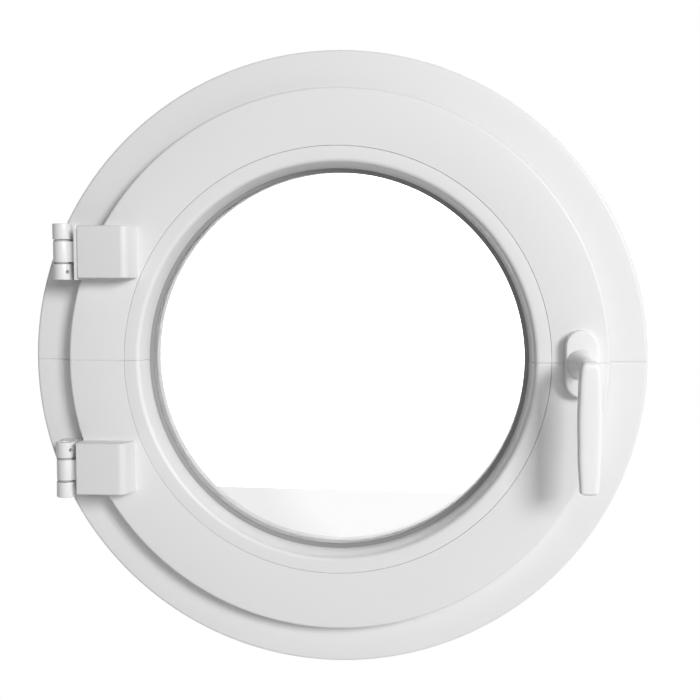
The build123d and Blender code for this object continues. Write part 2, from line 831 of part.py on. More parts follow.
# Espagnolette: pinion, cranked bar with its rack, cams, case, faceplate and keeps
def make_gear():
    pitch = 360 / pinion_teeth
    first = -1
    last = round(handle_travel / pitch) + 1
    root = pinion_pitch_radius - tooth_dedendum * gear_module
    case_half = case_half_width()
    with BuildPart() as pinion:
        with BuildSketch(at_depth(groove_centre + pinion_width / 2)):
            for index in range(first, last + 1):
                tooth(pinion_pitch_radius, 180 + index * pitch, axis_x)
            with BuildLine():
                start = 180 + (first - 0.5) * pitch
                sweep_angle = (last - first + 1) * pitch
                arc = CenterArc((axis_x, 0), root, start, sweep_angle)
                Line(arc @ 0, (axis_x, 0))
                Line(arc @ 1, (axis_x, 0))
            make_face()
        extrude(amount=pinion_width)
        with BuildSketch(at_depth(groove_centre + bar_width / 2)):
            with Locations((axis_x, 0)):
                Circle(hub_radius)
        extrude(amount=bar_width)
        with BuildSketch(at_depth(groove_centre + case_half - fit_gap)):
            with Locations((axis_x, 0)):
                Circle(journal_radius)
        extrude(amount=2 * (case_half - fit_gap))
        with BuildSketch(at_depth(groove_centre + case_half)):
            with Locations((axis_x, 0)):
                Rectangle(spindle_size + 2 * fit_gap, spindle_size + 2 * fit_gap)
        extrude(amount=2 * case_half, mode=Mode.SUBTRACT)
    save(pinion, "pinion")

    # The bar cranks inwards round the pinion, and its inner strip carries the rack
    strip_inner = rack_strip_inner_radius()
    rack_pitch = 360 / rack_teeth
    rack_low = -round(bar_travel / (math.pi * gear_module)) - 2
    with BuildPart() as lock_bar:
        with BuildSketch(at_depth(groove_centre + bar_width / 2)):
            arc_band(bar_inner_radius, bar_outer_radius, -bar_half_angle, low_leg)
            arc_band(bar_inner_radius, bar_outer_radius, high_leg, bar_half_angle)
            arc_band(strip_inner, bar_outer_radius, low_leg - leg_angle, low_leg)
            arc_band(strip_inner, bar_outer_radius, high_leg, high_leg + leg_angle)
            root_radius = rack_pitch_radius - tooth_dedendum * gear_module
            arc_band(strip_inner, root_radius, low_leg - leg_angle, high_leg + leg_angle)
            for index in range(rack_low, 2):
                tooth(rack_pitch_radius, (index + 0.5) * rack_pitch, 0)
        extrude(amount=bar_width)
        for angle in (cam_angle, -cam_angle):
            with Locations(radial_plane(bar_inner_radius - 1, angle, groove_centre)):
                Cylinder(
                    cam_peg_radius + fit_gap / 2,
                    bar_thickness + 3,
                    align=(Align.CENTER, Align.CENTER, Align.MIN),
                    mode=Mode.SUBTRACT,
                )
    save(lock_bar, "lock_bar")

    cam_base = sash_radius + cam_lift
    with BuildPart() as lock_cams:
        for angle in (cam_angle, -cam_angle):
            with Locations(radial_plane(bar_inner_radius, angle, groove_centre)):
                Cylinder(
                    cam_peg_radius,
                    cam_base - bar_inner_radius + cam_height / 2,
                    align=(Align.CENTER, Align.CENTER, Align.MIN),
                )
            with Locations(radial_plane(cam_base, angle, groove_centre)):
                Cylinder(cam_radius, cam_height, align=(Align.CENTER, Align.CENTER, Align.MIN))
        tops = lock_cams.edges().filter_by(GeomType.CIRCLE)
        chamfer(tops.filter_by(lambda edge: edge.radius > cam_radius - 0.1), 0.8)
    save(lock_cams, "lock_cams")

    case_front = faceplate_back_radius - bar_play / 2
    case_left = case_inner_x()
    with BuildPart() as gear_case:
        with BuildSketch(at_depth(groove_centre + case_half)):
            with Locations((case_left, 0)):
                Rectangle(
                    case_front - case_left,
                    2 * case_half_length,
                    align=(Align.MIN, Align.CENTER),
                )
            Circle(case_front, mode=Mode.INTERSECT)
        extrude(amount=2 * case_half)
        with BuildSketch(at_depth(groove_centre + bar_groove_width / 2)):
            with Locations((case_left + case_wall, 0)):
                Rectangle(
                    sash_radius - case_left,
                    2 * (case_half_length - case_wall),
                    align=(Align.MIN, Align.CENTER),
                )
            arc_band(bar_inner_radius - bar_play, sash_radius, -bar_half_angle, bar_half_angle)
        extrude(amount=bar_groove_width, mode=Mode.SUBTRACT)
        with BuildSketch(at_depth(groove_centre + case_half)):
            with Locations((axis_x, 0)):
                Circle(journal_radius + journal_play)
        extrude(amount=2 * case_half, mode=Mode.SUBTRACT)
        with BuildSketch(at_depth(groove_centre)):
            with Locations((axis_x, rosette_screw_pitch / 2), (axis_x, -rosette_screw_pitch / 2)):
                Circle(machine_screw_radius + fit_gap)
        extrude(amount=2 * case_half, mode=Mode.SUBTRACT)
    save(gear_case, "gear_case")

    plate_half_width = faceplate_width / 2 - fit_gap
    with BuildPart() as faceplate:
        with BuildSketch(at_depth(groove_centre + plate_half_width)):
            arc_band(
                faceplate_back_radius,
                sash_radius,
                -faceplate_half_angle,
                faceplate_half_angle,
            )
        extrude(amount=2 * plate_half_width)
        for angle in faceplate_screw_angles():
            countersunk_hole(radial_plane(sash_radius, angle, groove_centre), faceplate_screw_length())
        for angle in (cam_angle, -cam_angle):
            middle = angle + bar_travel_angle / 2
            travel_length = math.radians(bar_travel_angle) * sash_radius
            with BuildSketch(radial_plane(faceplate_back_radius - 1, middle, groove_centre)):
                SlotCenterToCenter(travel_length, 2 * (cam_peg_radius + seal_play), rotation=90)
            extrude(amount=faceplate_thickness + 3, mode=Mode.SUBTRACT)
    save(faceplate, "faceplate")

    with BuildPart() as faceplate_screws:
        for angle in faceplate_screw_angles():
            countersunk(radial_plane(sash_radius, angle, groove_centre), faceplate_screw_length())
    save(faceplate_screws, "faceplate_screws")

    hook_radius = rebate_radius - keep_plate - keep_hook
    keep_top = groove_centre + keep_width / 2 - 2
    names = ("upper_keep", "lower_keep")
    for name, middle in zip(names, keep_centres()):
        with BuildPart() as keep:
            with BuildSketch(at_depth(keep_top)):
                arc_band(
                    rebate_radius - keep_plate,
                    rebate_radius,
                    middle - keep_half_angle,
                    middle + keep_half_angle,
                )
            extrude(amount=keep_width)
            with BuildSketch(at_depth(keep_top - keep_width + keep_hook_width)):
                arc_band(
                    hook_radius,
                    rebate_radius - keep_plate,
                    middle - keep_half_angle + 1,
                    middle + keep_half_angle - 1,
                )
            extrude(amount=keep_hook_width)
            for angle in keep_screw_angles():
                if abs(angle - middle) < keep_half_angle:
                    countersunk_hole(
                        radial_plane(rebate_radius - keep_plate, angle, groove_centre, -1),
                        keep_screw_length,
                    )
        save(keep, name)

    with BuildPart() as keep_screws:
        for angle in keep_screw_angles():
            countersunk(
                radial_plane(rebate_radius - keep_plate, angle, groove_centre, -1),
                keep_screw_length,
            )
    save(keep_screws, "keep_screws")


# Handle: fixing base and cover on the sash, cranked lever and spindle that turn
def make_handle():
    with BuildPart() as rosette_base:
        with BuildSketch(at_depth(sash_face)):
            with Locations((axis_x, 0)):
                SlotOverall(
                    rosette_height - 2 * (rosette_wall + base_margin),
                    rosette_width - 2 * (rosette_wall + base_margin),
                    rotation=90,
                )
        extrude(amount=base_plate_thickness)
        with BuildSketch(at_depth(sash_face)):
            with Locations((axis_x, 0)):
                Circle(collar_radius)
        extrude(amount=base_plate_thickness + collar_height)
        with BuildSketch(at_depth(sash_face - base_plate_thickness)):
            with Locations((axis_x, 0)):
                Circle(stem_radius + stem_play)
        extrude(amount=collar_height, mode=Mode.SUBTRACT)
        with BuildSketch(at_depth(sash_face)):
            with Locations((axis_x, 0)):
                Circle(hub_radius)
        extrude(amount=base_plate_thickness, mode=Mode.SUBTRACT)
        for plane in rosette_screw_planes():
            countersunk_hole(plane, 2 * base_plate_thickness, machine_screw_radius, machine_head_radius)
    save(rosette_base, "rosette_base")

    with BuildPart() as rosette_screws:
        for plane in rosette_screw_planes():
            countersunk(plane, rosette_screw_length(), machine_screw_radius, machine_head_radius)
    save(rosette_screws, "rosette_screws")

    with BuildPart() as rosette_cover:
        with BuildSketch(at_depth(sash_face)):
            with Locations((axis_x, 0)):
                SlotOverall(rosette_height, rosette_width, rotation=90)
        extrude(amount=rosette_depth)
        fillet(rosette_cover.faces().sort_by(Axis.Y)[0].edges(), rosette_round)
        offset(amount=-rosette_wall, openings=rosette_cover.faces().sort_by(Axis.Y)[-1])
        with BuildSketch(at_depth(sash_face)):
            with Locations((axis_x, 0)):
                Circle(stem_radius + 0.6)
        extrude(amount=rosette_depth, mode=Mode.SUBTRACT)
    save(rosette_cover, "rosette_cover")

    neck_start = sash_face - rosette_depth - neck_gap
    grip_front = sash_face - grip_reach
    grip_middle = grip_front + grip_thickness / 2
    with BuildPart() as handle:
        # Neck turned about the spindle's axis, flared where it meets the rosette
        with BuildSketch(Plane.XY):
            with BuildLine():
                outer = Line((axis_x, neck_start), (axis_x + neck_base_radius, neck_start))
                rim = Line(outer @ 1, (axis_x + neck_base_radius, neck_start - 1.6))
                flare = Spline(
                    rim @ 1,
                    (axis_x + neck_radius, neck_start - 17),
                    tangents=[(-1.0, -0.8), (0.0, -1.0)],
                )
                side = Line(flare @ 1, (axis_x + neck_radius, grip_middle))
                inner = Line(side @ 1, (axis_x, grip_middle))
                Line(inner @ 1, outer @ 0)
            make_face()
        revolve(axis=Axis((axis_x, 0, 0), (0, 1, 0)))
        # Stem that turns in the base's collar
        with BuildSketch(at_depth(sash_face - base_plate_thickness - seal_play)):
            with Locations((axis_x, 0)):
                Circle(stem_radius)
        extrude(amount=-(neck_start - 1 - sash_face + base_plate_thickness + seal_play))
        # Grip lofted down its length
        rows = (
            (grip_rise, grip_top_width, grip_thickness - 1.0),
            (grip_rise - grip_mid_drop / 2, (grip_top_width + grip_mid_width) / 2 + 0.7, grip_thickness),
            (-grip_mid_drop, grip_mid_width, grip_thickness),
            (-(grip_mid_drop + grip_drop) / 2, grip_mid_width - 1.6, grip_thickness - 1.2),
            (-grip_drop, grip_end_width, grip_thickness - 2.6),
        )
        for height, width, thickness in rows:
            with BuildSketch(Plane.XY.offset(height)):
                with Locations((axis_x, grip_middle)):
                    RectangleRounded(width, thickness, 0.46 * thickness)
        loft()
        fillet(handle.faces().sort_by(Axis.Z)[0].edges(), grip_end_round)
        # Square socket for the spindle
        with BuildSketch(at_depth(sash_face)):
            with Locations((axis_x, 0)):
                Rectangle(spindle_size + 2 * fit_gap, spindle_size + 2 * fit_gap)
        extrude(amount=spindle_socket_depth(), mode=Mode.SUBTRACT)
    save(handle, "handle")

    spindle_end = groove_centre + case_half_width() - fit_gap
    with BuildPart() as spindle:
        with BuildSketch(at_depth(spindle_end)):
            with Locations((axis_x, 0)):
                Rectangle(spindle_size, spindle_size)
        extrude(amount=spindle_end - sash_face + spindle_socket_depth() - fit_gap)
        chamfer(spindle.faces().filter_by(Axis.Y).edges(), 0.6)
    save(spindle, "spindle")


def spindle_socket_depth():
    """How far in front of the sash's face the spindle's square socket ends."""
    return grip_reach - grip_thickness - 4.0


def rosette_screw_length():
    """Length from the base to just inside the gear case's side plate."""
    plate_inside = groove_centre - bar_groove_width / 2
    return plate_inside - bar_play - (sash_face - base_plate_thickness)


def rosette_screw_planes():
    """Planes of the two screws that hold the base to the gear case."""
    depth = sash_face - base_plate_thickness
    return [
        Plane(origin=(axis_x, depth, side * rosette_screw_pitch / 2), x_dir=(1, 0, 0), z_dir=(0, -1, 0))
        for side in (1, -1)
    ]


make_frame_ring()
make_sash_ring()
make_rebate_seals()
make_glazing()
make_beads()
make_hinge("upper", 1, upper_cover_offset)
make_hinge("lower", -1, lower_cover_offset)
make_hinge_screws()
make_gear()
make_handle()
print("bar travel", round(bar_travel_angle, 3), "degrees, rack radius", rack_pitch_radius, "axis", axis_x)
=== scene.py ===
"""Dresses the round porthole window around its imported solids.

Sizes in the classes are in millimetres and meshes are written in metres.
X points right and Z up, the room is on the -Y side, and the origin is the ring's centre.
"""

import logging
from dataclasses import dataclass
from enum import Enum
from math import copysign, cos, pi, radians, sin, sqrt, tan, tau

import bmesh
import bpy
from bpy.types import ID, Material, Node, NodeSocket, NodeTree, Object
from mathutils import Euler, Matrix, Vector


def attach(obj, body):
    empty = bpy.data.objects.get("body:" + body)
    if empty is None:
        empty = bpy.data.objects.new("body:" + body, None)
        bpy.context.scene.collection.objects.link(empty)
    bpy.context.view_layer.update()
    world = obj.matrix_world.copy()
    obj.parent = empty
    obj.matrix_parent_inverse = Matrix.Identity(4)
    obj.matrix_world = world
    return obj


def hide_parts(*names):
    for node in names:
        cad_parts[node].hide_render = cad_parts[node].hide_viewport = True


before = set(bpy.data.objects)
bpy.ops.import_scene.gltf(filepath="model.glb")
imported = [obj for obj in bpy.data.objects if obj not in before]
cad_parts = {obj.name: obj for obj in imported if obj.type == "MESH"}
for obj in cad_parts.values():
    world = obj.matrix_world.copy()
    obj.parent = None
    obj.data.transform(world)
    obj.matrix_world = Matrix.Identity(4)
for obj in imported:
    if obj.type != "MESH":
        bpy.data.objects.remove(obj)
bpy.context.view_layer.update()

LOG = logging.getLogger("porthole_window")
MM = 0.001
SHARP_ANGLE = radians(32)
FLAT_ANGLE = radians(0.4)
MERGE_DISTANCE = 2e-6
ROUNDING_SHARE = 0.48
MOTTLE_DETAIL, MOTTLE_START, MOTTLE_END = 3.0, 0.3, 0.7
GLOSS_SPREAD = 0.12
GRAIN_DETAIL = 2.0
BUMP_DISTANCE = 0.2 * MM
UPRIGHT = Euler((radians(90), 0, 0))

Point = tuple[float, float]
Corner = tuple[float, ...]
Place = Tint = tuple[float, float, float]
Colour = tuple[float, float, float, float]
Inputs = dict[str | int, object]


class Grain(Enum):
    """How a surface is textured: the noise's scale, its stretch along Y and the bump's strength."""

    SATIN = (1400.0, 1.0, 0.010)
    ORANGE_PEEL = (520.0, 1.0, 0.035)
    RUBBER = (900.0, 1.0, 0.080)
    BRUSHED = (160.0, 14.0, 0.050)
    CAST = (300.0, 1.0, 0.160)


# Materials by name, so that each is built once.
BUILT: dict[str, Material] = {}


class Graph:
    """A node tree that is built node by node."""

    def __init__(self, tree: NodeTree) -> None:
        """Takes up a tree."""
        self.tree = tree

    def node(self, kind: str, values: Inputs | None = None, **settings: object) -> Node:
        """Adds a node.

        Args:
            kind: the node's type.
            values: constants, sockets or nodes (their first output) by input.
            **settings: the node's own properties.

        Returns:
            The node.
        """
        node = self.tree.nodes.new(kind)
        for key, value in settings.items():
            setattr(node, key, value)
        self.feed(node, values or {})
        return node

    def feed(self, node: Node, values: Inputs) -> None:
        """Links or sets a node's inputs.

        Args:
            node: the node.
            values: constants, sockets or nodes (their first output) by input.
        """
        for key, value in values.items():
            socket = node.inputs[key]
            if isinstance(value, Node):
                value = value.outputs[0]
            if isinstance(value, NodeSocket):
                self.tree.links.new(value, socket)
            else:
                socket.default_value = value

    def maths(self, operation: str, first: object, second: object) -> Node:
        """Adds an operation on two values, such as MULTIPLY."""
        return self.node("ShaderNodeMath", {0: first, 1: second}, operation=operation)

    def noise(self, place: Node | NodeSocket, scale: float, detail: float) -> Node:
        """Adds a noise at a place."""
        return self.node("ShaderNodeTexNoise", {"Vector": place, "Scale": scale, "Detail": detail})

    def spread(self, value: Node, low: float, high: float) -> Node:
        """Maps 0 to 1 onto a range."""
        return self.node("ShaderNodeMapRange", {"Value": value, "To Min": low, "To Max": high})

    def step(self, value: NodeSocket, low: float, high: float) -> Node:
        """Steps softly from 0 to 1 between two values."""
        values = {"Value": value, "From Min": low, "From Max": high}
        return self.node("ShaderNodeMapRange", values, interpolation_type="SMOOTHSTEP")

    def blend(self, factor: Node, first: Colour, last: Colour, low: float = 0.0, high: float = 1.0) -> Node:
        """Blends two colours along a factor.

        Args:
            factor: the factor.
            first: colour up to the low end.
            last: colour from the high end on.
            low: where the blend starts.
            high: where it ends.

        Returns:
            The node.
        """
        node = self.node("ShaderNodeValToRGB", {"Fac": factor})
        for element, position, colour in zip(node.color_ramp.elements, (low, high), (first, last)):
            element.position, element.color = position, colour
        return node


@dataclass(frozen=True)
class Surface:
    """What every finish has: a name, and a material that is built once."""

    name: str

    def material(self) -> Material:
        """Builds the material, or finds it if it was built before.

        Returns:
            The material.
        """
        if self.name not in BUILT:
            material = BUILT[self.name] = bpy.data.materials.new(self.name)
            material.use_nodes = True
            graph = Graph(material.node_tree)
            graph.feed(graph.tree.nodes["Principled BSDF"], self.inputs(graph))
        return BUILT[self.name]

    def inputs(self, graph: Graph) -> Inputs:
        """Builds the nodes in front of the shader, which each kind of finish does its own way."""
        raise NotImplementedError


@dataclass(frozen=True)
class Finish(Surface):
    """An opaque finish, mottled and textured on Object coordinates."""

    shade: float
    roughness: float
    grain: Grain
    metallic: float = 0.0
    coat: float = 0.0
    specular: float = 0.5
    mottle: float = 0.02
    mottle_scale: float = 9.0
    tint: Tint = (1.0, 1.0, 1.0)

    def colour(self, share: float) -> Colour:
        """Colour of the finish, darkened by a share."""
        red, green, blue = (self.shade * (1.0 - share) * part for part in self.tint)
        return red, green, blue, 1.0

    def inputs(self, graph: Graph) -> Inputs:
        """Mottles the colour and the gloss, and gives the surface its grain.

        Args:
            graph: the material's nodes.

        Returns:
            The shader's inputs.
        """
        place = graph.node("ShaderNodeTexCoord").outputs["Object"]
        cloud = graph.noise(place, self.mottle_scale, MOTTLE_DETAIL)
        scale, stretch, strength = self.grain.value
        stretched = graph.node("ShaderNodeMapping", {"Vector": place, "Scale": (1.0, stretch, 1.0)})
        grain = graph.noise(stretched, scale, GRAIN_DETAIL)
        values = {"Strength": strength, "Distance": BUMP_DISTANCE, "Height": grain}
        bump = graph.node("ShaderNodeBump", values)
        least, most = self.roughness * (1 - GLOSS_SPREAD), self.roughness * (1 + GLOSS_SPREAD)
        dark, plain = self.colour(self.mottle), self.colour(0.0)
        return {
            "Metallic": self.metallic, "Coat Weight": self.coat, "Specular IOR Level": self.specular,
            "Base Color": graph.blend(cloud, dark, plain, MOTTLE_START, MOTTLE_END),
            "Roughness": graph.spread(cloud, least, most), "Normal": bump,
        }


@dataclass(frozen=True)
class GlassFinish(Surface):
    """Clear glass with painted reflections: a darker painted reflection towards one side and paler painted
    bars of reflected light, in metres.
    """

    clear: float = 0.985
    dark_reflection: float = 0.925
    ior: float = 1.12
    # Where the painted darker reflection lies, and where the painted bars of reflected light lie.
    dark_reflection_centre: Place = (0.10, 0.0, -0.05)
    dark_reflection_start: float = 0.150
    dark_reflection_end: float = 0.205
    reflected_bar_scale: float = 4.83
    reflected_bar_phase: float = 2.27
    reflected_bar_start: float = 0.78
    reflected_bar_end: float = 0.84
    reflected_bar_foot: float = 0.052
    foot_blur: float = 0.003
    reflected_bar_side: float = -0.030
    side_blur: float = 0.01
    reflected_bar_darkness: float = 0.35

    def inputs(self, graph: Graph) -> Inputs:
        """Paints a darker reflection into the glass's colour and thins it out along paler painted bars of
        reflected light.

        Args:
            graph: the material's nodes.

        Returns:
            The shader's inputs.
        """
        # The darker patch and the paler bars are painted reflections of the room, not a tint of the glass
        # itself.
        place = graph.node("ShaderNodeTexCoord").outputs["Object"]
        flat = graph.node("ShaderNodeVectorMath", {0: place, 1: (1.0, 0.0, 1.0)}, operation="MULTIPLY")
        away = graph.node("ShaderNodeVectorMath", {0: flat, 1: self.dark_reflection_centre}, operation="DISTANCE")
        dark_reflection = graph.step(away.outputs["Value"], self.dark_reflection_start, self.dark_reflection_end)
        values = {"Vector": place, "Scale": self.reflected_bar_scale, "Phase Offset": self.reflected_bar_phase}
        waves = graph.node("ShaderNodeTexWave", values, bands_direction="X")
        reflected_bars = graph.step(waves.outputs["Fac"], self.reflected_bar_start, self.reflected_bar_end)
        parts = graph.node("ShaderNodeSeparateXYZ", {"Vector": place}).outputs
        foot = graph.step(parts["Z"], self.reflected_bar_foot, self.reflected_bar_foot + self.foot_blur)
        side = graph.step(parts["X"], self.reflected_bar_side, self.reflected_bar_side - self.side_blur)
        lit = graph.maths("MULTIPLY", reflected_bars, graph.maths("MULTIPLY", side, foot))
        share = graph.maths("MULTIPLY", dark_reflection, graph.spread(lit, 1.0, self.reflected_bar_darkness))
        clear, dark_tint = ((shade, shade, shade, 1.0) for shade in (self.clear, self.dark_reflection))
        return {
            "Transmission Weight": 1.0, "Roughness": 0.0, "IOR": self.ior,
            "Base Color": graph.blend(share, clear, dark_tint),
        }


PROFILE_WHITE = Finish("profile_white", 0.80, 0.42, Grain.SATIN, mottle=0.012)
COVER_WHITE = Finish("cover_white", 0.74, 0.45, Grain.SATIN, mottle=0.012)
PAINT_WHITE = Finish("paint_white", 0.80, 0.36, Grain.ORANGE_PEEL, coat=0.15)
HANDLE_WHITE = Finish("handle_white", 0.88, 0.30, Grain.ORANGE_PEEL, coat=0.25)
DARK_RUBBER = Finish("dark_rubber", 0.035, 0.62, Grain.RUBBER, specular=0.35)
GREY_RUBBER = Finish("grey_rubber", 0.30, 0.58, Grain.RUBBER, specular=0.35, mottle=0.06)
PALE_RUBBER = Finish("pale_rubber", 0.84, 0.58, Grain.RUBBER, specular=0.35, mottle=0.04)
SPACER_GREY = Finish("spacer_grey", 0.55, 0.36, Grain.BRUSHED, metallic=0.9)
BLOCK_BLUE = Finish("block_blue", 0.30, 0.50, Grain.SATIN, tint=(0.35, 0.62, 1.0))
# Black of the edge sealant, also used as painted shade in the spacer's slot marks.
SEALANT_AND_SLOT_SHADE = Finish("sealant_black", 0.03, 0.55, Grain.RUBBER)
BRIGHT_STEEL = Finish("polished_steel", 0.72, 0.24, Grain.BRUSHED, metallic=1.0, mottle=0.08)
ZINC_STEEL = Finish(
    "plated_steel", 0.60, 0.36, Grain.BRUSHED, metallic=1.0, mottle=0.12, tint=(1.0, 1.0, 0.97)
)
ZINC_CASTING = Finish("cast_zinc", 0.50, 0.48, Grain.CAST, metallic=1.0, mottle=0.10)
BUSH_GREY = Finish("bush_grey", 0.42, 0.48, Grain.SATIN)
FLOOR_PALE = Finish("floor_pale", 0.86, 0.8, Grain.SATIN)
# The glass's colour carries painted reflections: a darker patch and paler bars.
WINDOW_GLASS = GlassFinish("clear_glass")


def rounded(corners: list[Corner], steps: int = 5) -> list[Point]:
    """Rounds the corners of a closed profile.

    Args:
        corners: radius and depth of each corner in order, and its rounding where it has one.
        steps: how many pieces each rounding has.

    Returns:
        The points of the rounded profile.
    """
    points: list[Point] = []
    for index, corner in enumerate(corners):
        here = Vector(corner[:2])
        if len(corner) < 3:
            points.append((here.x, here.y))
            continue
        before = Vector(corners[index - 1][:2]) - here
        after = Vector(corners[(index + 1) % len(corners)][:2]) - here
        longest = ROUNDING_SHARE * min(before.length, after.length)
        reach = min(corner[2] / tan(before.angle(after) / 2), longest)
        start, end = here + before.normalized() * reach, here + after.normalized() * reach
        for step in range(steps + 1):
            share = step / steps
            point = start * (1 - share) ** 2 + here * 2 * share * (1 - share) + end * share**2
            points.append((point.x, point.y))
    return points


def placed(name: str, data: ID) -> Object:
    """Adds a mesh, lamp or camera to the scene, at the origin."""
    bpy.context.scene.collection.objects.link(obj := bpy.data.objects.new(name, data))
    return obj


def skinned(name: str, rows: list[list[Vector]], ring: bool, looped: bool = True) -> Object:
    """Makes a closed piece from rows of points in millimetres.

    Args:
        name: the piece's name.
        rows: rows with the same number of points each.
        ring: whether the last row joins the first. If not, both end rows are capped.
        looped: whether each row is a closed loop. If not, it starts and ends on an axis.

    Returns:
        The piece.
    """
    points, faces = [point for row in rows for point in row], []
    width = len(rows[0])
    for index in range(len(rows) if ring else len(rows) - 1):
        here, following = index * width, (index + 1) % len(rows) * width
        for step in range(width if looped else width - 1):
            beside = (step + 1) % width
            faces.append((here + step, here + beside, following + beside, following + step))
    for row in () if ring else (rows[0], rows[-1]):
        faces.append(tuple(range(len(points), len(points) + width)))
        points.extend(row)
    mesh = bpy.data.meshes.new(name)
    mesh.from_pydata([point * MM for point in points], [], faces)
    return tidy(placed(name, mesh))


def tidy(obj: Object, whole: bool = True) -> Object:
    """Merges doubles and shades by angle.

    Args:
        obj: a mesh object.
        whole: whether faces are also pointed outwards. If not, flat ones are joined instead.

    Returns:
        The object.
    """
    work = bmesh.new()
    work.from_mesh(obj.data)
    bmesh.ops.remove_doubles(work, verts=work.verts, dist=MERGE_DISTANCE)
    if whole:
        bmesh.ops.dissolve_degenerate(work, edges=work.edges, dist=MERGE_DISTANCE)
        bmesh.ops.recalc_face_normals(work, faces=work.faces)
    else:
        bmesh.ops.dissolve_limit(work, angle_limit=FLAT_ANGLE, verts=work.verts, edges=work.edges)
    work.to_mesh(obj.data)
    work.free()
    shade(obj)
    return obj


def shade(obj: Object) -> None:
    """Shades an object smooth, with sharp edges by angle."""
    obj.data.shade_smooth()
    obj.data.set_sharp_from_angle(angle=SHARP_ANGLE)


def settle(obj: Object) -> Object:
    """Turns an object with modifiers into a plain mesh.

    Args:
        obj: an object at the origin.

    Returns:
        The same object, without modifiers.
    """
    evaluated = obj.evaluated_get(bpy.context.evaluated_depsgraph_get())
    mesh = bpy.data.meshes.new_from_object(evaluated)
    obj.modifiers.clear()
    obj.data = mesh
    shade(obj)
    return obj


def combine(obj: Object, others: list[Object], operation: str = "DIFFERENCE") -> Object:
    """Cuts closed shapes out of a piece or joins them to it, and deletes them.

    Args:
        obj: the piece.
        others: the closed shapes.
        operation: DIFFERENCE or UNION.

    Returns:
        The piece.
    """
    for other in others:
        modifier = obj.modifiers.new("combine", "BOOLEAN")
        modifier.operation = operation
        modifier.solver = "EXACT"
        modifier.object = other
    settle(obj)
    for other in others:
        bpy.data.objects.remove(other)
    return tidy(obj)


def edged(obj: Object, width: float, segments: int = 3, angle: float = 35.0) -> Object:
    """Rounds the sharp edges of a piece.

    Args:
        obj: the piece.
        width: width of the rounding in millimetres.
        segments: how many faces it has across.
        angle: edges sharper than this are rounded, in degrees.

    Returns:
        The piece.
    """
    modifier = obj.modifiers.new("edges", "BEVEL")
    modifier.width = width * MM
    modifier.segments = segments
    modifier.limit_method = "ANGLE"
    modifier.angle_limit = radians(angle)
    return settle(obj)


def refined(node: str, name: str, width: float = 0.0, segments: int = 2) -> Object:
    """Copies a solid as one closed mesh, with its flat faces whole and its edges rounded.

    Args:
        node: the solid's name.
        name: the piece's name.
        width: width of the rounding in millimetres.
        segments: how many faces it has across.

    Returns:
        The piece.
    """
    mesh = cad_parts[node].data.copy()
    mesh.materials.clear()
    obj = tidy(placed(name, mesh), whole=False)
    return edged(obj, width, segments) if width > 0 else obj


def dress(obj: Object, finish: Surface, body: str, slot: str, *nodes: str) -> None:
    """Gives a piece its material and body, and hides the solids that it replaces.

    Args:
        obj: the piece.
        finish: its finish.
        body: the body it moves with.
        slot: not used.
        *nodes: the solids that it replaces.
    """
    obj.data.materials.clear()
    obj.data.materials.append(finish.material())
    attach(obj, body)
    if nodes:
        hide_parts(*nodes)
    LOG.info("piece %s: %d faces, body %s", obj.name, len(obj.data.polygons), body)


def fit(
    node: str, name: str, finish: Finish, body: str, slot: str, width: float = 0.0, segments: int = 2
) -> None:
    """Refines one solid and dresses it as a piece, as refined and dress say."""
    dress(refined(node, name, width, segments), finish, body, slot, node)


def turned(
    name: str, profile: list[Point], place: Matrix, segments: int = 64, looped: bool = False
) -> Object:
    """Turns a profile round an axis into a closed solid.

    Args:
        name: the piece's name.
        profile: radius and height, from the axis at one end to the axis at the other.
        place: where the axis stands, with its height along local Z, in millimetres.
        segments: how many faces go round.
        looped: whether the profile is a closed loop that keeps off the axis.

    Returns:
        The solid.
    """
    rows = []
    for index in range(segments):
        angle = tau * index / segments
        rows.append([
            place @ Vector((radius * cos(angle), radius * sin(angle), height))
            for radius, height in profile
        ])
    return skinned(name, rows, True, looped)


def block(name: str, low: Place, high: Place) -> Object:
    """Makes a box between its lowest and its highest corner, in millimetres."""
    loop = [(low[0], low[2]), (high[0], low[2]), (high[0], high[2]), (low[0], high[2])]
    return skinned(name, [[Vector((x, depth, z)) for x, z in loop] for depth in (low[1], high[1])], False)


def facing_y(x: float = 0.0, y: float = 0.0, z: float = 0.0) -> Matrix:
    """Place whose local Z points out into the room from a point in millimetres."""
    return Matrix.Translation((x, y, z)) @ UPRIGHT.to_matrix().to_4x4()


# The clip that holds the beads in the sash: its depths, how far it reaches and its play.
CLIP_LOW, CLIP_HIGH, CLIP_REACH, PLAY = -36.0, -33.0, 3.0, 0.05


@dataclass
class WeldedRing:
    """A ring of bent profile with two welds, on the horizontal diameter."""

    face: float
    seam_reach: float
    segments: int = 360
    seam_width: float = 1.4
    seam_depth: float = 0.95
    seam_margin: float = 0.25

    def angles(self, radius: float) -> list[float]:
        """Angles round the ring, with extra ones beside its two weld seams.

        Args:
            radius: where the extra ones are measured.

        Returns:
            The sorted angles in radians.
        """
        half = self.seam_width / 2
        wide = half + self.seam_margin
        offsets = (-wide, -half, -half / 2, 0.0, half / 2, half, wide)
        extra = [base + offset / radius for base in (0.0, pi) for offset in offsets]
        near = wide / radius + 0.002
        even = [tau * index / self.segments for index in range(self.segments)]
        kept = [turn for turn in even if min(abs(turn - base) for base in (0.0, pi, tau)) > near]
        return sorted(turn % tau for turn in kept + extra)

    def skin(self, name: str, corners: list[Corner]) -> Object:
        """Turns a profile round the window's axis and presses the weld seams into its face.

        Args:
            name: the piece's name.
            corners: the profile.

        Returns:
            The ring.
        """
        profile = rounded(corners)
        rows = []
        for angle in self.angles(sum(corner[0] for corner in corners) / len(corners)):
            row = []
            for radius, depth in profile:
                height = radius * sin(angle)
                press = self.seam_depth * max(0.0, 1.0 - abs(height) / (self.seam_width / 2))
                shown = depth < self.face + self.seam_reach
                row.append(Vector((radius * cos(angle), depth + (press if shown else 0.0), height)))
            rows.append(row)
        return skinned(name, rows, True)


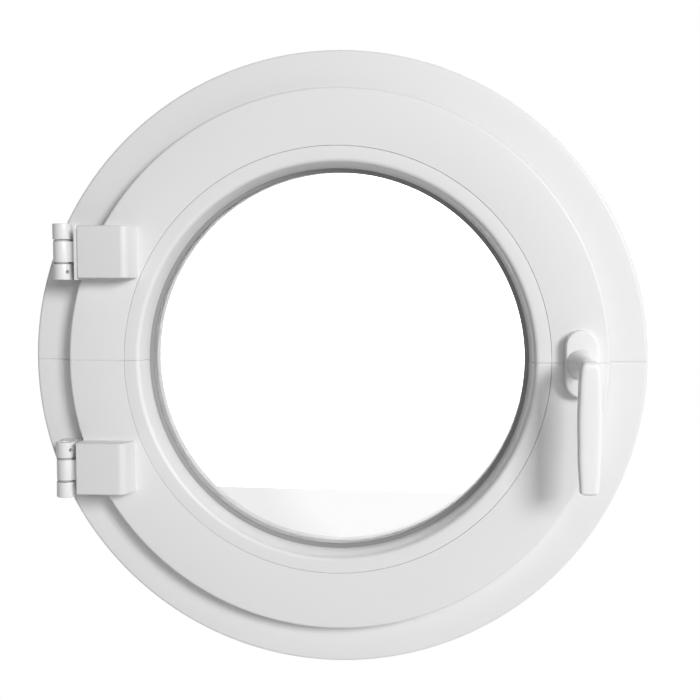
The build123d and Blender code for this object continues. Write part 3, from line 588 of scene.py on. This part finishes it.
@dataclass
class FrameRing(WeldedRing):
    """The fixed frame ring."""

    outer: float = 300.0
    rebate: float = 254.0
    lip: float = 234.0
    face: float = -35.0
    back: float = 35.0
    lip_face: float = 24.0
    groove_low: float = 16.0
    groove_high: float = 22.0
    groove_floor: float = 297.0
    seal_low: float = 236.5
    seal_high: float = 239.5
    seal_floor: float = 27.0
    seam_reach: float = 2.5
    slot_radius: float = 250.5
    slot_length: float = 28.0
    slot_height: float = 5.0
    slot_angle: float = 13.0

    def build(self) -> None:
        """Builds the ring with its rim grooves and drain slots."""
        soft, outer, floor, lip = 0.5, self.outer, self.groove_floor, self.lip_face
        low, high = self.groove_low, self.groove_high
        groove = [(outer, low, soft), (floor, low, soft), (floor, high, soft), (outer, high, soft)]
        corners = [
            (self.rebate, self.face, 1.0), (outer, self.face, 3.0),
            *((radius, -depth, soft) for radius, depth, _ in reversed(groove)), *groove,
            (outer, self.back, 1.2), (self.lip, self.back, 1.2), (self.lip, lip, soft),
            (self.seal_low, lip), (self.seal_low, self.seal_floor),
            (self.seal_high, self.seal_floor), (self.seal_high, lip), (self.rebate, lip, soft),
        ]
        ring = self.skin("frame_profile_ring", corners)
        combine(ring, [self.drain_slot(side) for side in (-1, 1)])
        dress(ring, PROFILE_WHITE, "frame", "white_profile", "frame_ring")

    def drain_slot(self, side: int) -> Object:
        """Makes the shape of one drain slot through the outdoor lip.

        Args:
            side: -1 for the left slot, 1 for the right one.

        Returns:
            The shape to cut away.
        """
        middle = -pi / 2 + side * radians(self.slot_angle)
        half = self.slot_height / 2
        reach = self.slot_length / 2 - half
        outline = [
            Vector((end * reach + half * cos(turn), half * sin(turn)))
            for end, start in ((1, -90), (-1, 90))
            for turn in (radians(start + step * 15) for step in range(13))
        ]
        out = Vector((cos(middle), sin(middle)))
        along = Vector((-out.y, out.x))
        spots = [out * (self.slot_radius + point.y) + along * point.x for point in outline]
        ends = (self.lip_face - 2, self.back + 2)
        rows = [[Vector((spot.x, depth, spot.y)) for spot in spots] for depth in ends]
        return skinned("drain_slot", rows, False)


@dataclass
class SashRing(WeldedRing):
    """The opening sash ring, with the groove for its hardware."""

    bead_line: float = 207.0
    flange: float = 262.0
    edge_round: float = 3.0
    body: float = 242.0
    face: float = -52.0
    flange_back: float = -38.0
    back: float = 20.0
    lip_face: float = 4.0
    sight: float = 187.0
    plate_floor: float = 240.0
    bar_floor: float = 230.0
    plate_low: float = -33.0
    plate_high: float = -17.0
    bar_low: float = -31.0
    bar_high: float = -19.0
    groove: float = 3.0
    seal_middle: float = 258.0
    seal_half: float = 1.5
    seam_reach: float = 3.5
    axis_x: float = 233.5
    pocket_inner: float = 217.2
    pocket_half: float = 30.3
    spindle_hole: float = 6.5
    screw_hole: float = 2.8
    screw_pitch: float = 43.0

    def build(self) -> None:
        """Builds the ring, mills the gear's pocket and drills the handle's holes."""
        soft, groove, line, sight, lip = 0.4, self.groove, self.bead_line, self.sight, self.lip_face
        behind, body, plate, bar = self.flange_back, self.body, self.plate_floor, self.bar_floor
        seal_low, seal_high = self.seal_middle - self.seal_half, self.seal_middle + self.seal_half
        corners = [
            (line, self.face, 0.45), (self.flange, self.face, self.edge_round), (self.flange, behind, 0.8),
            (seal_high, behind), (seal_high, behind - groove), (seal_low, behind - groove),
            (seal_low, behind), (body, behind, soft),
            (body, self.plate_low, soft), (plate, self.plate_low), (plate, self.bar_low, soft),
            (bar, self.bar_low), (bar, self.bar_high), (plate, self.bar_high, soft),
            (plate, self.plate_high), (body, self.plate_high, soft), (body, self.back, 1.0),
            (sight + groove, self.back, soft), (sight, self.back - groove, soft), (sight, lip),
            (sight + groove, lip), (sight + groove, lip + groove), (sight + 2 * groove, lip + groove),
            (sight + 2 * groove, lip), (line, lip), (line, CLIP_HIGH), (line + CLIP_REACH, CLIP_HIGH),
            (line + CLIP_REACH, CLIP_LOW), (line, CLIP_LOW),
        ]
        ring = self.skin("sash_profile_ring", corners)
        low = (self.pocket_inner, self.plate_low, -self.pocket_half)
        cutters = [block("pocket", low, (self.body + 1, self.plate_high, self.pocket_half))]
        depth = self.plate_low - self.face + 1
        high = self.screw_pitch / 2
        for z, radius in ((0.0, self.spindle_hole), (-high, self.screw_hole), (high, self.screw_hole)):
            hole = [(0, 1), (radius, 1), (radius, -depth), (0, -depth)]
            cutters.append(turned("drill", hole, facing_y(self.axis_x, self.face, z), 32))
        combine(ring, cutters)
        dress(ring, PROFILE_WHITE, "sash", "white_profile", "sash_ring")


@dataclass
class GlazingBeads:
    """The glazing bead in two halves that meet on the horizontal diameter."""

    outer: float = 206.95
    face: float = -52.0
    seam_gap: float = 0.25
    face_inner: float = 191.6
    nose: float = 5.5
    foot: float = 187.4
    back: float = -28.0
    sole: float = 200.0
    tongue_tip: float = -35.1
    joint: float = 0.25
    edge: float = 0.25
    edge_angle: float = 70.0
    segments: int = 200

    def build(self) -> None:
        """Builds both halves."""
        low, high, tip = CLIP_LOW + PLAY, CLIP_HIGH - PLAY, self.outer + CLIP_REACH
        profile = rounded([
            (self.outer - self.seam_gap, self.face, 0.4), (self.face_inner, self.face, self.nose),
            (self.foot, self.back, 0.4), (self.sole, self.back), (self.sole, low), (self.outer - 2, high),
            (tip, high, 0.3), (tip, self.tongue_tip, 0.3), (self.outer, low),
            (self.outer, self.face + 3), (self.outer - self.seam_gap, self.face + 3),
        ], 8)
        for name, side in (("upper_bead", 1), ("lower_bead", -1)):
            rows = []
            for index in range(self.segments + 1):
                cosine, sine = (turn(pi * index / self.segments) for turn in (cos, sin))
                rows.append([
                    Vector((radius * cosine, depth, side * max(radius * sine, self.joint / 2)))
                    for radius, depth in profile
                ])
            bead = edged(skinned(name + "_moulding", rows, False), self.edge, 2, self.edge_angle)
            dress(bead, PROFILE_WHITE, "sash", "white_profile", name)


class GeometryGraph(Graph):
    """A Geometry Nodes tree with named sizes."""

    def __init__(self, name: str) -> None:
        """Starts a tree with a geometry input and output.

        Args:
            name: the tree's name.
        """
        super().__init__(bpy.data.node_groups.new(name, "GeometryNodeTree"))
        for way in ("INPUT", "OUTPUT"):
            self.tree.interface.new_socket("Geometry", in_out=way, socket_type="NodeSocketGeometry")
        self.start = self.tree.nodes.new("NodeGroupInput")
        self.end = self.tree.nodes.new("NodeGroupOutput")
        self.sizes: dict[str, float | int] = {}

    def size(self, name: str, value: float | int) -> NodeSocket:
        """Adds a named size.

        Args:
            name: the input's name.
            value: its value, in metres or as a count.

        Returns:
            The socket that gives it inside the tree.
        """
        kind = "NodeSocketInt" if isinstance(value, int) else "NodeSocketFloat"
        socket = self.tree.interface.new_socket(name, in_out="INPUT", socket_type=kind)
        socket.default_value = value
        self.sizes[socket.identifier] = value
        return self.start.outputs[name]

    def close(self, geometry: Node, finish: Finish) -> None:
        """Ends the tree in real, dressed geometry.

        Args:
            geometry: what the tree made.
            finish: its finish.
        """
        real = self.node("GeometryNodeRealizeInstances", {0: geometry})
        dressed = self.node("GeometryNodeSetMaterial", {"Geometry": real, "Material": finish.material()})
        self.feed(self.end, {0: dressed})

    def grow(self, host: Object) -> Object:
        """Runs the tree on a host and leaves a plain mesh.

        Args:
            host: the object that carries the tree's input.

        Returns:
            The host.
        """
        modifier = host.modifiers.new(self.tree.name, "NODES")
        modifier.node_group = self.tree
        for identifier, value in self.sizes.items():
            modifier[identifier] = value
        return tidy(settle(host))


@dataclass(frozen=True)
class Gasket:
    """A rubber profile that is driven once round the window's axis."""

    name: str
    node: str
    body: str
    finish: Finish
    slot: str
    corners: list[Corner]
    steps: int = 300

    def build(self) -> None:
        """Draws the profile beside its path, drives it round and dresses it."""
        profile = rounded(self.corners, 4)
        path = sum(radius for radius, _ in profile) / len(profile)
        mesh = bpy.data.meshes.new(self.name)
        points = [((radius - path) * MM, depth * MM, 0.0) for radius, depth in profile]
        mesh.from_pydata(points, [(index, (index + 1) % len(points)) for index in range(len(points))], [])
        seal = self.tree(path * MM).grow(placed(self.name, mesh))
        dress(seal, self.finish, self.body, self.slot, self.node)

    def tree(self, path_radius: float) -> GeometryGraph:
        """Tree that drives a drawn profile once round the window's axis.

        Args:
            path_radius: radius of the way round, in metres.

        Returns:
            The tree.
        """
        tree = GeometryGraph("seal_round_axis")
        radius, steps = tree.size("Path Radius", path_radius), tree.size("Steps", self.steps)
        path = tree.node("GeometryNodeCurvePrimitiveCircle", {"Resolution": steps, "Radius": radius})
        drawn = tree.node("GeometryNodeMeshToCurve", {"Mesh": tree.start})
        skin = tree.node("GeometryNodeCurveToMesh", {"Curve": path, "Profile Curve": drawn})
        tree.close(tree.node("GeometryNodeTransform", {"Geometry": skin, "Rotation": UPRIGHT}), self.finish)
        return tree


# The rebate seals and the two glazing seals.
GASKETS = (
    Gasket("frame_rebate_gasket", "frame_seal", "frame", DARK_RUBBER, "seal_rubber", [
        (236.55, 26.95), (236.55, 24.0), (234.6, 24.0, 0.3), (234.3, 22.6, 0.5), (237.0, 20.3, 0.6),
        (239.6, 20.3, 0.6), (241.4, 22.4, 0.6), (241.0, 24.0, 0.3), (239.45, 24.0), (239.45, 26.95),
    ]),
    Gasket("sash_flange_gasket", "sash_seal", "sash", DARK_RUBBER, "seal_rubber", [
        (256.55, -40.95), (256.55, -38.0), (255.4, -38.0, 0.3), (255.6, -36.8, 0.4), (257.4, -35.3, 0.5),
        (259.8, -35.3, 0.5), (261.2, -37.0, 0.5), (260.8, -38.0, 0.3), (259.45, -38.0), (259.45, -40.95),
    ]),
    Gasket("inner_glazing_gasket", "inner_glazing_seal", "sash", GREY_RUBBER, "glazing_seal", [
        (191.0, -24.0), (183.5, -24.0, 0.3), (183.8, -26.0, 0.9), (187.4, -28.0, 0.3), (191.0, -28.0),
    ]),
    Gasket("outer_glazing_gasket", "outer_glazing_seal", "sash", PALE_RUBBER, "glazing_seal", [
        (186.4, 0.0, 0.3), (194.95, 0.0), (194.95, 4.0), (192.95, 4.0), (192.95, 6.95),
        (190.05, 6.95), (190.05, 4.0), (187.0, 4.0, 0.3), (186.4, 2.8, 0.5),
    ]),
)


@dataclass
class GlazingUnit:
    """The sealed unit: two panes, a spacer bar full of drying beads, and the edge sealant."""

    radius: float = 202.0
    pane: float = 4.0
    arris: float = 0.5
    cavity_front: float = -20.0
    cavity_back: float = -4.0
    spacer_inner: float = 189.5
    spacer_outer: float = 197.0
    spacer_slope: float = 1.5
    slot_count: int = 190
    slot_length: float = 2.4
    slot_width: float = 0.5
    slot_depth: float = 0.1
    segments: int = 256

    def build(self) -> None:
        """Builds the panes, the sealant, and the spacer bar with its slots."""
        axis, outer, arris, slope = facing_y(), self.radius, self.arris, self.spacer_slope
        front, back, edge = -self.cavity_front, -self.cavity_back, outer - arris
        for name, node, low in (
            ("inner_glass", "inner_pane", front + self.pane), ("outer_glass", "outer_pane", back)
        ):
            high = low - self.pane
            profile = [(0, low), (edge, low), (outer, low - arris)]
            profile += [(outer, high + arris), (edge, high), (0, high)]
            glass = turned(name, profile, axis, self.segments)
            dress(glass, WINDOW_GLASS, "sash", "window_glass", node)
        inner, middle = self.spacer_inner, self.spacer_outer
        profile = [(middle, front), (outer, front), (outer, back), (middle, back)]
        sealant = turned("edge_sealant_ring", profile, axis, self.segments, True)
        dress(sealant, SEALANT_AND_SLOT_SHADE, "sash", "seal_rubber", "edge_sealant")
        profile = [(inner, front - slope), (inner + slope, front), (middle, front), (middle, back),
                   (inner + slope, back), (inner, back + slope)]
        bar = turned("spacer_bar_hollow", profile, axis, self.segments, True)
        slots = placed("spacer_drying_slots", bpy.data.meshes.new("spacer_drying_slots"))
        self.slot_tree().grow(slots)
        dress(bar, SPACER_GREY, "sash", "spacer_metal", "spacer_bar")
        # The black slot marks are painted shade standing for the dark insides of the spacer's holes.
        dress(slots, SEALANT_AND_SLOT_SHADE, "sash", "spacer_metal")

    def slot_tree(self) -> GeometryGraph:
        """Tree that sets black slot marks round the spacer, painted shade for the dark insides of its holes
        to the drying beads.

        Returns:
            The tree.
        """
        tree = GeometryGraph("spacer_slots")
        radius = tree.size("Inner Radius", (self.spacer_inner + self.slot_depth) * MM)
        count = tree.size("Slots", self.slot_count)
        length = tree.size("Slot Length", self.slot_length * MM)
        width = tree.size("Slot Width", self.slot_width * MM)
        path = tree.node("GeometryNodeCurvePrimitiveCircle", {"Resolution": count, "Radius": radius})
        spots = tree.node("GeometryNodeCurveToPoints", {"Curve": path, "Count": count})
        extent = tree.node("ShaderNodeCombineXYZ", {"X": width, "Y": width, "Z": length})
        slot = tree.node("GeometryNodeMeshCube", {"Size": extent})
        values = {"Points": spots, "Instance": slot, "Rotation": spots.outputs["Rotation"]}
        laid = tree.node("GeometryNodeInstanceOnPoints", values)
        middle = (0.0, (self.cavity_front + self.cavity_back) / 2 * MM, 0.0)
        values = {"Geometry": laid, "Rotation": UPRIGHT, "Translation": middle}
        tree.close(tree.node("GeometryNodeTransform", values), SEALANT_AND_SLOT_SHADE)
        return tree


@dataclass
class Hinge:
    """One barrel hinge with its cover, on the upper or the lower side."""

    side: str
    height: float
    wall_x: float
    edge: float = 0.5
    pin_edge: float = 0.2
    barrel_x: float = -263.692
    barrel_y: float = -60.0
    knuckle: float = 8.8
    middle_half: float = 9.8
    arm_setback: float = 3.0
    cover_shoulder: float = 21.0
    cover_lift: float = 1.9
    bush_bore: float = 3.5
    bush_sleeve: float = 4.95
    bush_flange: float = 8.3
    flange_height: float = 1.7
    flange_edge: float = 0.3

    def build(self) -> None:
        """Builds the hinge from the frame's leaf to the cover."""
        side, leaf = self.side, self.side + "_frame_leaf"
        fit(leaf, side + "_frame_hinge", PAINT_WHITE, "frame", "white_paint", self.edge, 3)
        fit(side + "_hinge_pin", side + "_pin", BRIGHT_STEEL, "frame", "bright_steel", self.pin_edge)
        dress(self.arm(), PAINT_WHITE, "sash", "white_paint", side + "_sash_leaf")
        dress(self.bush(), BUSH_GREY, "sash", "block_plastic", side + "_hinge_bush")
        cover = refined(side + "_hinge_cover", side + "_cover_cap")
        for vert in cover.data.vertices:
            if vert.co.z > (self.height + self.cover_shoulder) * MM:
                vert.co.z += self.cover_lift * MM
        dress(cover, COVER_WHITE, "sash", "white_cover", side + "_hinge_cover")

    def arm(self) -> Object:
        """Sets the knuckle's arm back, so that the knuckle stands out as a barrel.

        Returns:
            The sash's hinge leaf.
        """
        front, reach = self.barrel_y - self.knuckle, self.middle_half + 1
        low = (self.barrel_x, front - 1, self.height - reach)
        step = block("step", low, (self.wall_x, front + self.arm_setback, self.height + reach))
        half, radius = self.middle_half + 2, self.knuckle + 0.02
        barrel = [(0, -half), (radius, -half), (radius, half), (0, half)]
        combine(step, [turned("barrel", barrel, self.axis(), 96)])
        leaf = refined(self.side + "_sash_leaf", self.side + "_sash_hinge")
        return edged(combine(leaf, [step]), self.edge, 3)

    def bush(self) -> Object:
        """Turns the plastic bush with its two thrust flanges.

        Returns:
            The bush.
        """
        top, flange, edge = self.middle_half + self.flange_height, self.bush_flange, self.flange_edge
        upper = [
            (self.bush_sleeve, self.middle_half), (flange, self.middle_half),
            (flange, top - edge), (flange - edge, top), (self.bush_bore, top),
        ]
        profile = [(radius, -depth) for radius, depth in reversed(upper)] + upper
        return turned(self.side + "_bush", profile, self.axis(), 64, True)

    def axis(self) -> Matrix:
        """Place of the knuckle's middle, with the pin along local Z."""
        return Matrix.Translation((self.barrel_x, self.barrel_y, self.height))


@dataclass
class Handle:
    """The lever handle, its rosette and its spindle."""

    axis_x: float = 233.5
    neck_start: float = 63.4
    neck_base: float = 14.0
    neck_radius: float = 8.2
    base_edge: float = 0.4
    flare_start: float = 1.6
    flare_reach: float = 17.0
    tip_length: float = 7.0
    tip_bend: float = 14.0
    grip_front: float = -109.0
    thickness: float = 14.0
    rise: float = 5.5
    drop: float = 116.3
    top_round: float = 8.0
    foot_round: float = 2.2
    end_width: float = 0.55
    end_thickness: float = 0.6
    shift: float = 2.2
    lean: float = 0.4
    lean_start: float = 0.4
    stem_radius: float = 8.0
    stem_back: float = 55.3
    squareness: float = 4.4
    grip_steps: int = 60
    grip_sides: int = 72
    flare_steps: int = 12
    voxel: float = 0.55
    # Share of the grip's length from its upper end, and its width and thickness there.
    keys: tuple[Place, ...] = (
        (0.0, 17.5, 13.0), (0.18, 20.6, 14.0), (0.43, 22.2, 14.0), (0.7, 21.0, 12.8), (1.0, 17.2, 11.4),
    )

    def build(self) -> None:
        """Builds the lever, then dresses the pieces behind it."""
        dress(self.lever(), HANDLE_WHITE, "handle", "white_paint", "handle")
        fit("rosette_cover", "rosette_cap", HANDLE_WHITE, "sash", "white_cover")
        fit("rosette_base", "rosette_plate", ZINC_CASTING, "sash", "zinc_casting", 0.2)
        fit("spindle", "square_spindle", ZINC_STEEL, "handle", "zinc_steel", 0.2)

    def widths(self, share: float) -> tuple[float, ...]:
        """Width and thickness of the grip.

        Args:
            share: 0 at its upper end and 1 at its lower end.

        Returns:
            Its width and thickness in millimetres.
        """
        for first, second in zip(self.keys, self.keys[1:]):
            if share <= second[0]:
                part = (share - first[0]) / (second[0] - first[0])
                soft = part * part * (3 - 2 * part)
                return tuple(a + (b - a) * soft for a, b in zip(first[1:], second[1:]))
        return self.keys[-1][1:]

    def grip(self) -> Object:
        """Makes the grip as rows of rounded sections.

        Returns:
            The grip.
        """
        middle, length = self.grip_front + self.thickness / 2, self.rise + self.drop
        rows = []
        for index in range(self.grip_steps + 1):
            share = index / self.grip_steps
            end = min(share * length / self.top_round, (1 - share) * length / self.foot_round, 1.0)
            trim = sqrt(max(0.0, 1 - (1 - end) ** 2))
            half_x, half_y = (
                size / 2 * (least + (1 - least) * trim)
                for size, least in zip(self.widths(share), (self.end_width, self.end_thickness))
            )
            lean = self.lean * max(0.0, (share - self.lean_start) / (1 - self.lean_start))
            row = []
            for spot in range(self.grip_sides):
                turn = tau * spot / self.grip_sides
                x, y = (
                    half * copysign(abs(part) ** (2 / self.squareness), part)
                    for half, part in ((half_x, cos(turn)), (half_y, sin(turn)))
                )
                across = self.axis_x + self.shift + lean
                row.append(Vector((across + x, middle + y, self.rise - share * length)))
            rows.append(row)
        return skinned("grip", rows, False)

    def neck(self) -> Object:
        """Makes the flared neck and the stem behind it, as one turned solid.

        Returns:
            The neck.
        """
        start, base, slim = self.neck_start, self.neck_base, self.neck_radius
        profile = [
            (0.0, self.stem_back), (self.stem_radius, self.stem_back), (self.stem_radius, start - 0.1),
            (base - self.base_edge, start), (base, start + 0.5),
        ]
        for step in range(self.flare_steps + 1):
            share = step / self.flare_steps
            height = start + self.flare_start + share * (self.flare_reach - self.flare_start)
            profile.append((slim + (base - slim) * (1 - share) ** 2, height))
        front = -self.grip_front - self.thickness / 2
        for back in (0.0, 2.0, 4.0, 5.5, self.tip_length):
            profile.append((slim - back * back / self.tip_bend, front - self.tip_length + back))
        profile.append((0.0, front))
        return turned("lever_handle", profile, facing_y(self.axis_x), 72)

    def lever(self) -> Object:
        """Joins neck and grip and blends the corner between them.

        Returns:
            The lever.
        """
        lever = combine(self.neck(), [self.grip()], "UNION")
        remesh = lever.modifiers.new("even", "REMESH")
        remesh.mode = "VOXEL"
        remesh.voxel_size = self.voxel * MM
        smooth = lever.modifiers.new("blend", "SMOOTH")
        smooth.factor = 0.5
        smooth.iterations = 6
        settle(lever)
        lever.data.shade_smooth()
        return lever


@dataclass
class Espagnolette:
    """The gear in the sash's rebate, its bar, cams, faceplate and the keeps."""

    edge: float = 0.2
    block_edge: float = 0.4

    def build(self) -> None:
        """Dresses every piece of the gear, and the glazing packers."""
        for node, body, finish, slot in (
            ("gear_case", "sash", ZINC_STEEL, "zinc_steel"),
            ("faceplate", "sash", ZINC_STEEL, "zinc_steel"),
            ("pinion", "handle", ZINC_CASTING, "zinc_casting"),
            ("lock_bar", "lock_bar", ZINC_STEEL, "zinc_steel"),
            ("lock_cams", "lock_bar", BRIGHT_STEEL, "bright_steel"),
            ("upper_keep", "frame", ZINC_CASTING, "zinc_casting"),
            ("lower_keep", "frame", ZINC_CASTING, "zinc_casting"),
        ):
            fit(node, node + "_detailed", finish, body, slot, self.edge)
        fit("setting_blocks", "glazing_packers", BLOCK_BLUE, "sash", "block_plastic", self.block_edge)


@dataclass(frozen=True)
class ScrewSpot:
    """Where a screw's head is, which way it faces and how long the screw is."""

    top: Vector
    aim: Vector
    length: float


@dataclass
class ScrewSet:
    """All screws of one kind: a turned screw with a cross recess, set on its spots by Geometry Nodes."""

    spin_seed: int
    node: str
    body: str
    head: float = 4.0
    head_height: float = 2.2
    shank: float = 2.1
    recess_span: float = 4.4
    recess_width: float = 0.9
    recess_depth: float = 1.5
    land: float = 0.3

    def build(self) -> None:
        """Builds one screw, sets it on every spot and dresses the set."""
        spots = self.spots()
        model = self.model(max(spot.length for spot in spots))
        screws = self.tree(model).grow(self.host(spots))
        bpy.data.objects.remove(model)
        dress(screws, BRIGHT_STEEL, self.body, "bright_steel", self.node)

    def spots(self) -> list[ScrewSpot]:
        """Finds the flat head of every screw in the solid.

        Returns:
            One spot for each screw.
        """
        work = bmesh.new()
        work.from_mesh(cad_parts[self.node].data)
        bmesh.ops.remove_doubles(work, verts=work.verts, dist=MERGE_DISTANCE)
        left, found = set(work.faces), []
        while left:
            queue = [min(left, key=lambda face: face.index)]
            island = set(queue)
            while queue:
                for edge in queue.pop().edges:
                    for face in edge.link_faces:
                        if face not in island:
                            island.add(face)
                            queue.append(face)
            left -= island
            found.append(self.spot(list(island)))
        work.free()
        return sorted(found, key=lambda spot: tuple(round(value, 6) for value in spot.top))

    def spot(self, faces: list[bmesh.types.BMFace]) -> ScrewSpot:
        """Reads one screw's place from its largest flat side, which is its head.

        Args:
            faces: the screw's faces.

        Returns:
            Its spot, in millimetres.
        """
        sides: dict[tuple[float, ...], list[bmesh.types.BMFace]] = {}
        for face in sorted(faces, key=lambda face: face.index):
            sides.setdefault(tuple(round(value, 2) for value in face.normal), []).append(face)
        head = max(sides.values(), key=lambda side: sum(face.calc_area() for face in side))
        area = sum(face.calc_area() for face in head)
        top = sum((face.calc_center_median() * face.calc_area() for face in head), Vector()) / area
        aim = sum((face.normal * face.calc_area() for face in head), Vector()).normalized()
        depth = max((top - vert.co).dot(aim) for face in faces for vert in face.verts)
        return ScrewSpot(top / MM, aim, depth / MM)

    def model(self, length: float) -> Object:
        """Turns one screw under the origin and cuts its recess.

        Args:
            length: its whole length in millimetres.

        Returns:
            The screw.
        """
        shank = self.shank
        profile = [
            (0.0, 0.0), (self.head, 0.0), (self.head, -self.land), (shank, -self.head_height),
            (shank, -length + shank * 0.6), (shank * 0.45, -length), (0.0, -length),
        ]
        screw = turned(self.node + "_model", profile, Matrix.Identity(4), 32)
        span, width = self.recess_span / 2, self.recess_width / 2
        return combine(screw, [
            block("recess", (-x, -y, -self.recess_depth), (x, y, 1.0))
            for x, y in ((span, width), (width, span))
        ])

    def host(self, spots: list[ScrewSpot]) -> Object:
        """Makes the points that carry the screws.

        Args:
            spots: the screws' places.

        Returns:
            An object with one point for each screw, which knows its direction.
        """
        mesh = bpy.data.meshes.new(self.node + "_set")
        mesh.from_pydata([spot.top * MM for spot in spots], [], [])
        aims = mesh.attributes.new("aim", "FLOAT_VECTOR", "POINT")
        for index, spot in enumerate(spots):
            aims.data[index].vector = spot.aim
        return placed(mesh.name, mesh)

    def tree(self, model: Object) -> GeometryGraph:
        """Tree that stands a screw on every point, each turned by a different angle.

        Args:
            model: the screw.

        Returns:
            The tree.
        """
        tree = GeometryGraph("screws_on_spots")
        seed = tree.size("Spin Seed", self.spin_seed)
        screw = tree.node("GeometryNodeObjectInfo", {"Object": model})
        aim = tree.node("GeometryNodeInputNamedAttribute", {"Name": "aim"}, data_type="FLOAT_VECTOR")
        aimed = tree.node("FunctionNodeAlignRotationToVector", {"Vector": aim}, axis="Z")
        values = {"Points": tree.start, "Instance": screw.outputs["Geometry"], "Rotation": aimed}
        laid = tree.node("GeometryNodeInstanceOnPoints", values)
        # Input 3 and output 1 are the highest value and the result of a random number.
        spin = tree.node("FunctionNodeRandomValue", {3: tau, "Seed": seed}, data_type="FLOAT")
        angles = tree.node("ShaderNodeCombineXYZ", {"Z": spin.outputs[1]})
        spun = tree.node("GeometryNodeRotateInstances", {"Instances": laid, "Rotation": angles})
        tree.close(spun, BRIGHT_STEEL)
        return tree


SCREWS = (
    ScrewSet(3, "frame_leaf_screws", "frame"),
    ScrewSet(4, "keep_screws", "frame"),
    ScrewSet(5, "sash_leaf_screws", "sash"),
    ScrewSet(6, "faceplate_screws", "sash"),
    ScrewSet(7, "rosette_screws", "sash", 4.6, 2.2, 2.5, 5.0),
    ScrewSet(8, "hinge_grub_screws", "frame", 1.95, 0.3, 1.95, 2.6, 0.7, 1.6, 0.1),
)


@dataclass(frozen=True)
class Lamp:
    """A square soft light that faces the window.

    Its turn runs from straight in front towards the right, and its rise from level, in degrees.
    """

    name: str
    turn: float
    rise: float
    distance: float
    size: float
    power: float

    def hang(self) -> None:
        """Puts the lamp in the room."""
        turn, rise = radians(self.turn), radians(self.rise)
        aim = Vector((sin(turn) * cos(rise), -cos(turn) * cos(rise), sin(rise)))
        data = bpy.data.lights.new(self.name, "AREA")
        data.shape = "SQUARE"
        data.size = self.size
        data.energy = self.power
        lamp = placed(self.name, data)
        lamp.location = aim * self.distance
        lamp.rotation_euler = aim.to_track_quat("Z", "Y").to_euler()


LAMPS = (
    Lamp("key_softbox", 39.5, 18.5, 5.6, 1.8, 226.0),
    Lamp("fill_softbox", 14.0, 24.0, 6.0, 3.0, 64.0),
    Lamp("back_softbox", 176.0, 14.0, 5.0, 5.0, 165.0),
)


@dataclass
class Studio:
    """The photographer's room: backdrop, floor, lamps and camera, in metres."""

    ambient: float = 0.075
    floor_corners: tuple[Point, ...] = ((-2.2, -2.6), (2.2, -2.6), (2.2, 1.3), (-2.2, 1.3))
    floor_height: float = -1.0
    camera_place: Place = (0.090, -1.085, 0.079)
    camera_pitch: float = -3.72
    camera_yaw: float = 4.17
    focal_pixels: float = 1079.0
    picture: int = 700
    sensor: float = 36.0
    lamps: tuple[Lamp, ...] = LAMPS

    def build(self) -> None:
        """Sets up the whole room."""
        self.world()
        self.floor()
        for lamp in self.lamps:
            lamp.hang()
        self.camera()
        bpy.context.scene.view_settings.view_transform = "Standard"

    def world(self) -> None:
        """Makes it white where it is seen or mirrored, and an even fill light otherwise."""
        world = bpy.data.worlds.new("studio_white")
        bpy.context.scene.world = world
        world.use_nodes = True
        graph = Graph(world.node_tree)
        rays = graph.node("ShaderNodeLightPath").outputs
        seen = graph.maths("MAXIMUM", rays["Is Camera Ray"], rays["Is Glossy Ray"])
        seen = graph.maths("MAXIMUM", seen, rays["Is Transmission Ray"])
        strength = graph.spread(seen, self.ambient, 1.0)
        values = {"Color": (1.0, 1.0, 1.0, 1.0), "Strength": strength}
        graph.feed(world.node_tree.nodes["Background"], values)

    def floor(self) -> None:
        """Lays a plain pale floor a metre below the window."""
        mesh = bpy.data.meshes.new("studio_floor")
        mesh.from_pydata([(x, y, self.floor_height) for x, y in self.floor_corners], [], [(0, 1, 2, 3)])
        floor = placed("studio_floor", mesh)
        floor.data.materials.append(FLOOR_PALE.material())

    def camera(self) -> None:
        """Stands the camera where the photograph was taken."""
        data = bpy.data.cameras.new("photo_camera")
        data.sensor_width = self.sensor
        data.lens = self.sensor * self.focal_pixels / self.picture
        camera = placed("photo_camera", data)
        camera.location = self.camera_place
        camera.rotation_euler = (radians(90 + self.camera_pitch), 0.0, radians(self.camera_yaw))
        bpy.context.scene.camera = camera


def main() -> None:
    """Builds and dresses the window, then the studio round it."""
    logging.basicConfig(level=logging.INFO, format="%(message)s")
    for assembly in (
        FrameRing(), SashRing(), GlazingBeads(), *GASKETS, GlazingUnit(),
        Hinge("upper", 106.0, -249.092), Hinge("lower", -106.0, -248.092),
        Handle(), Espagnolette(), *SCREWS,
    ):
        assembly.build()
    Studio().build()


if __name__ == "__main__":
    main()
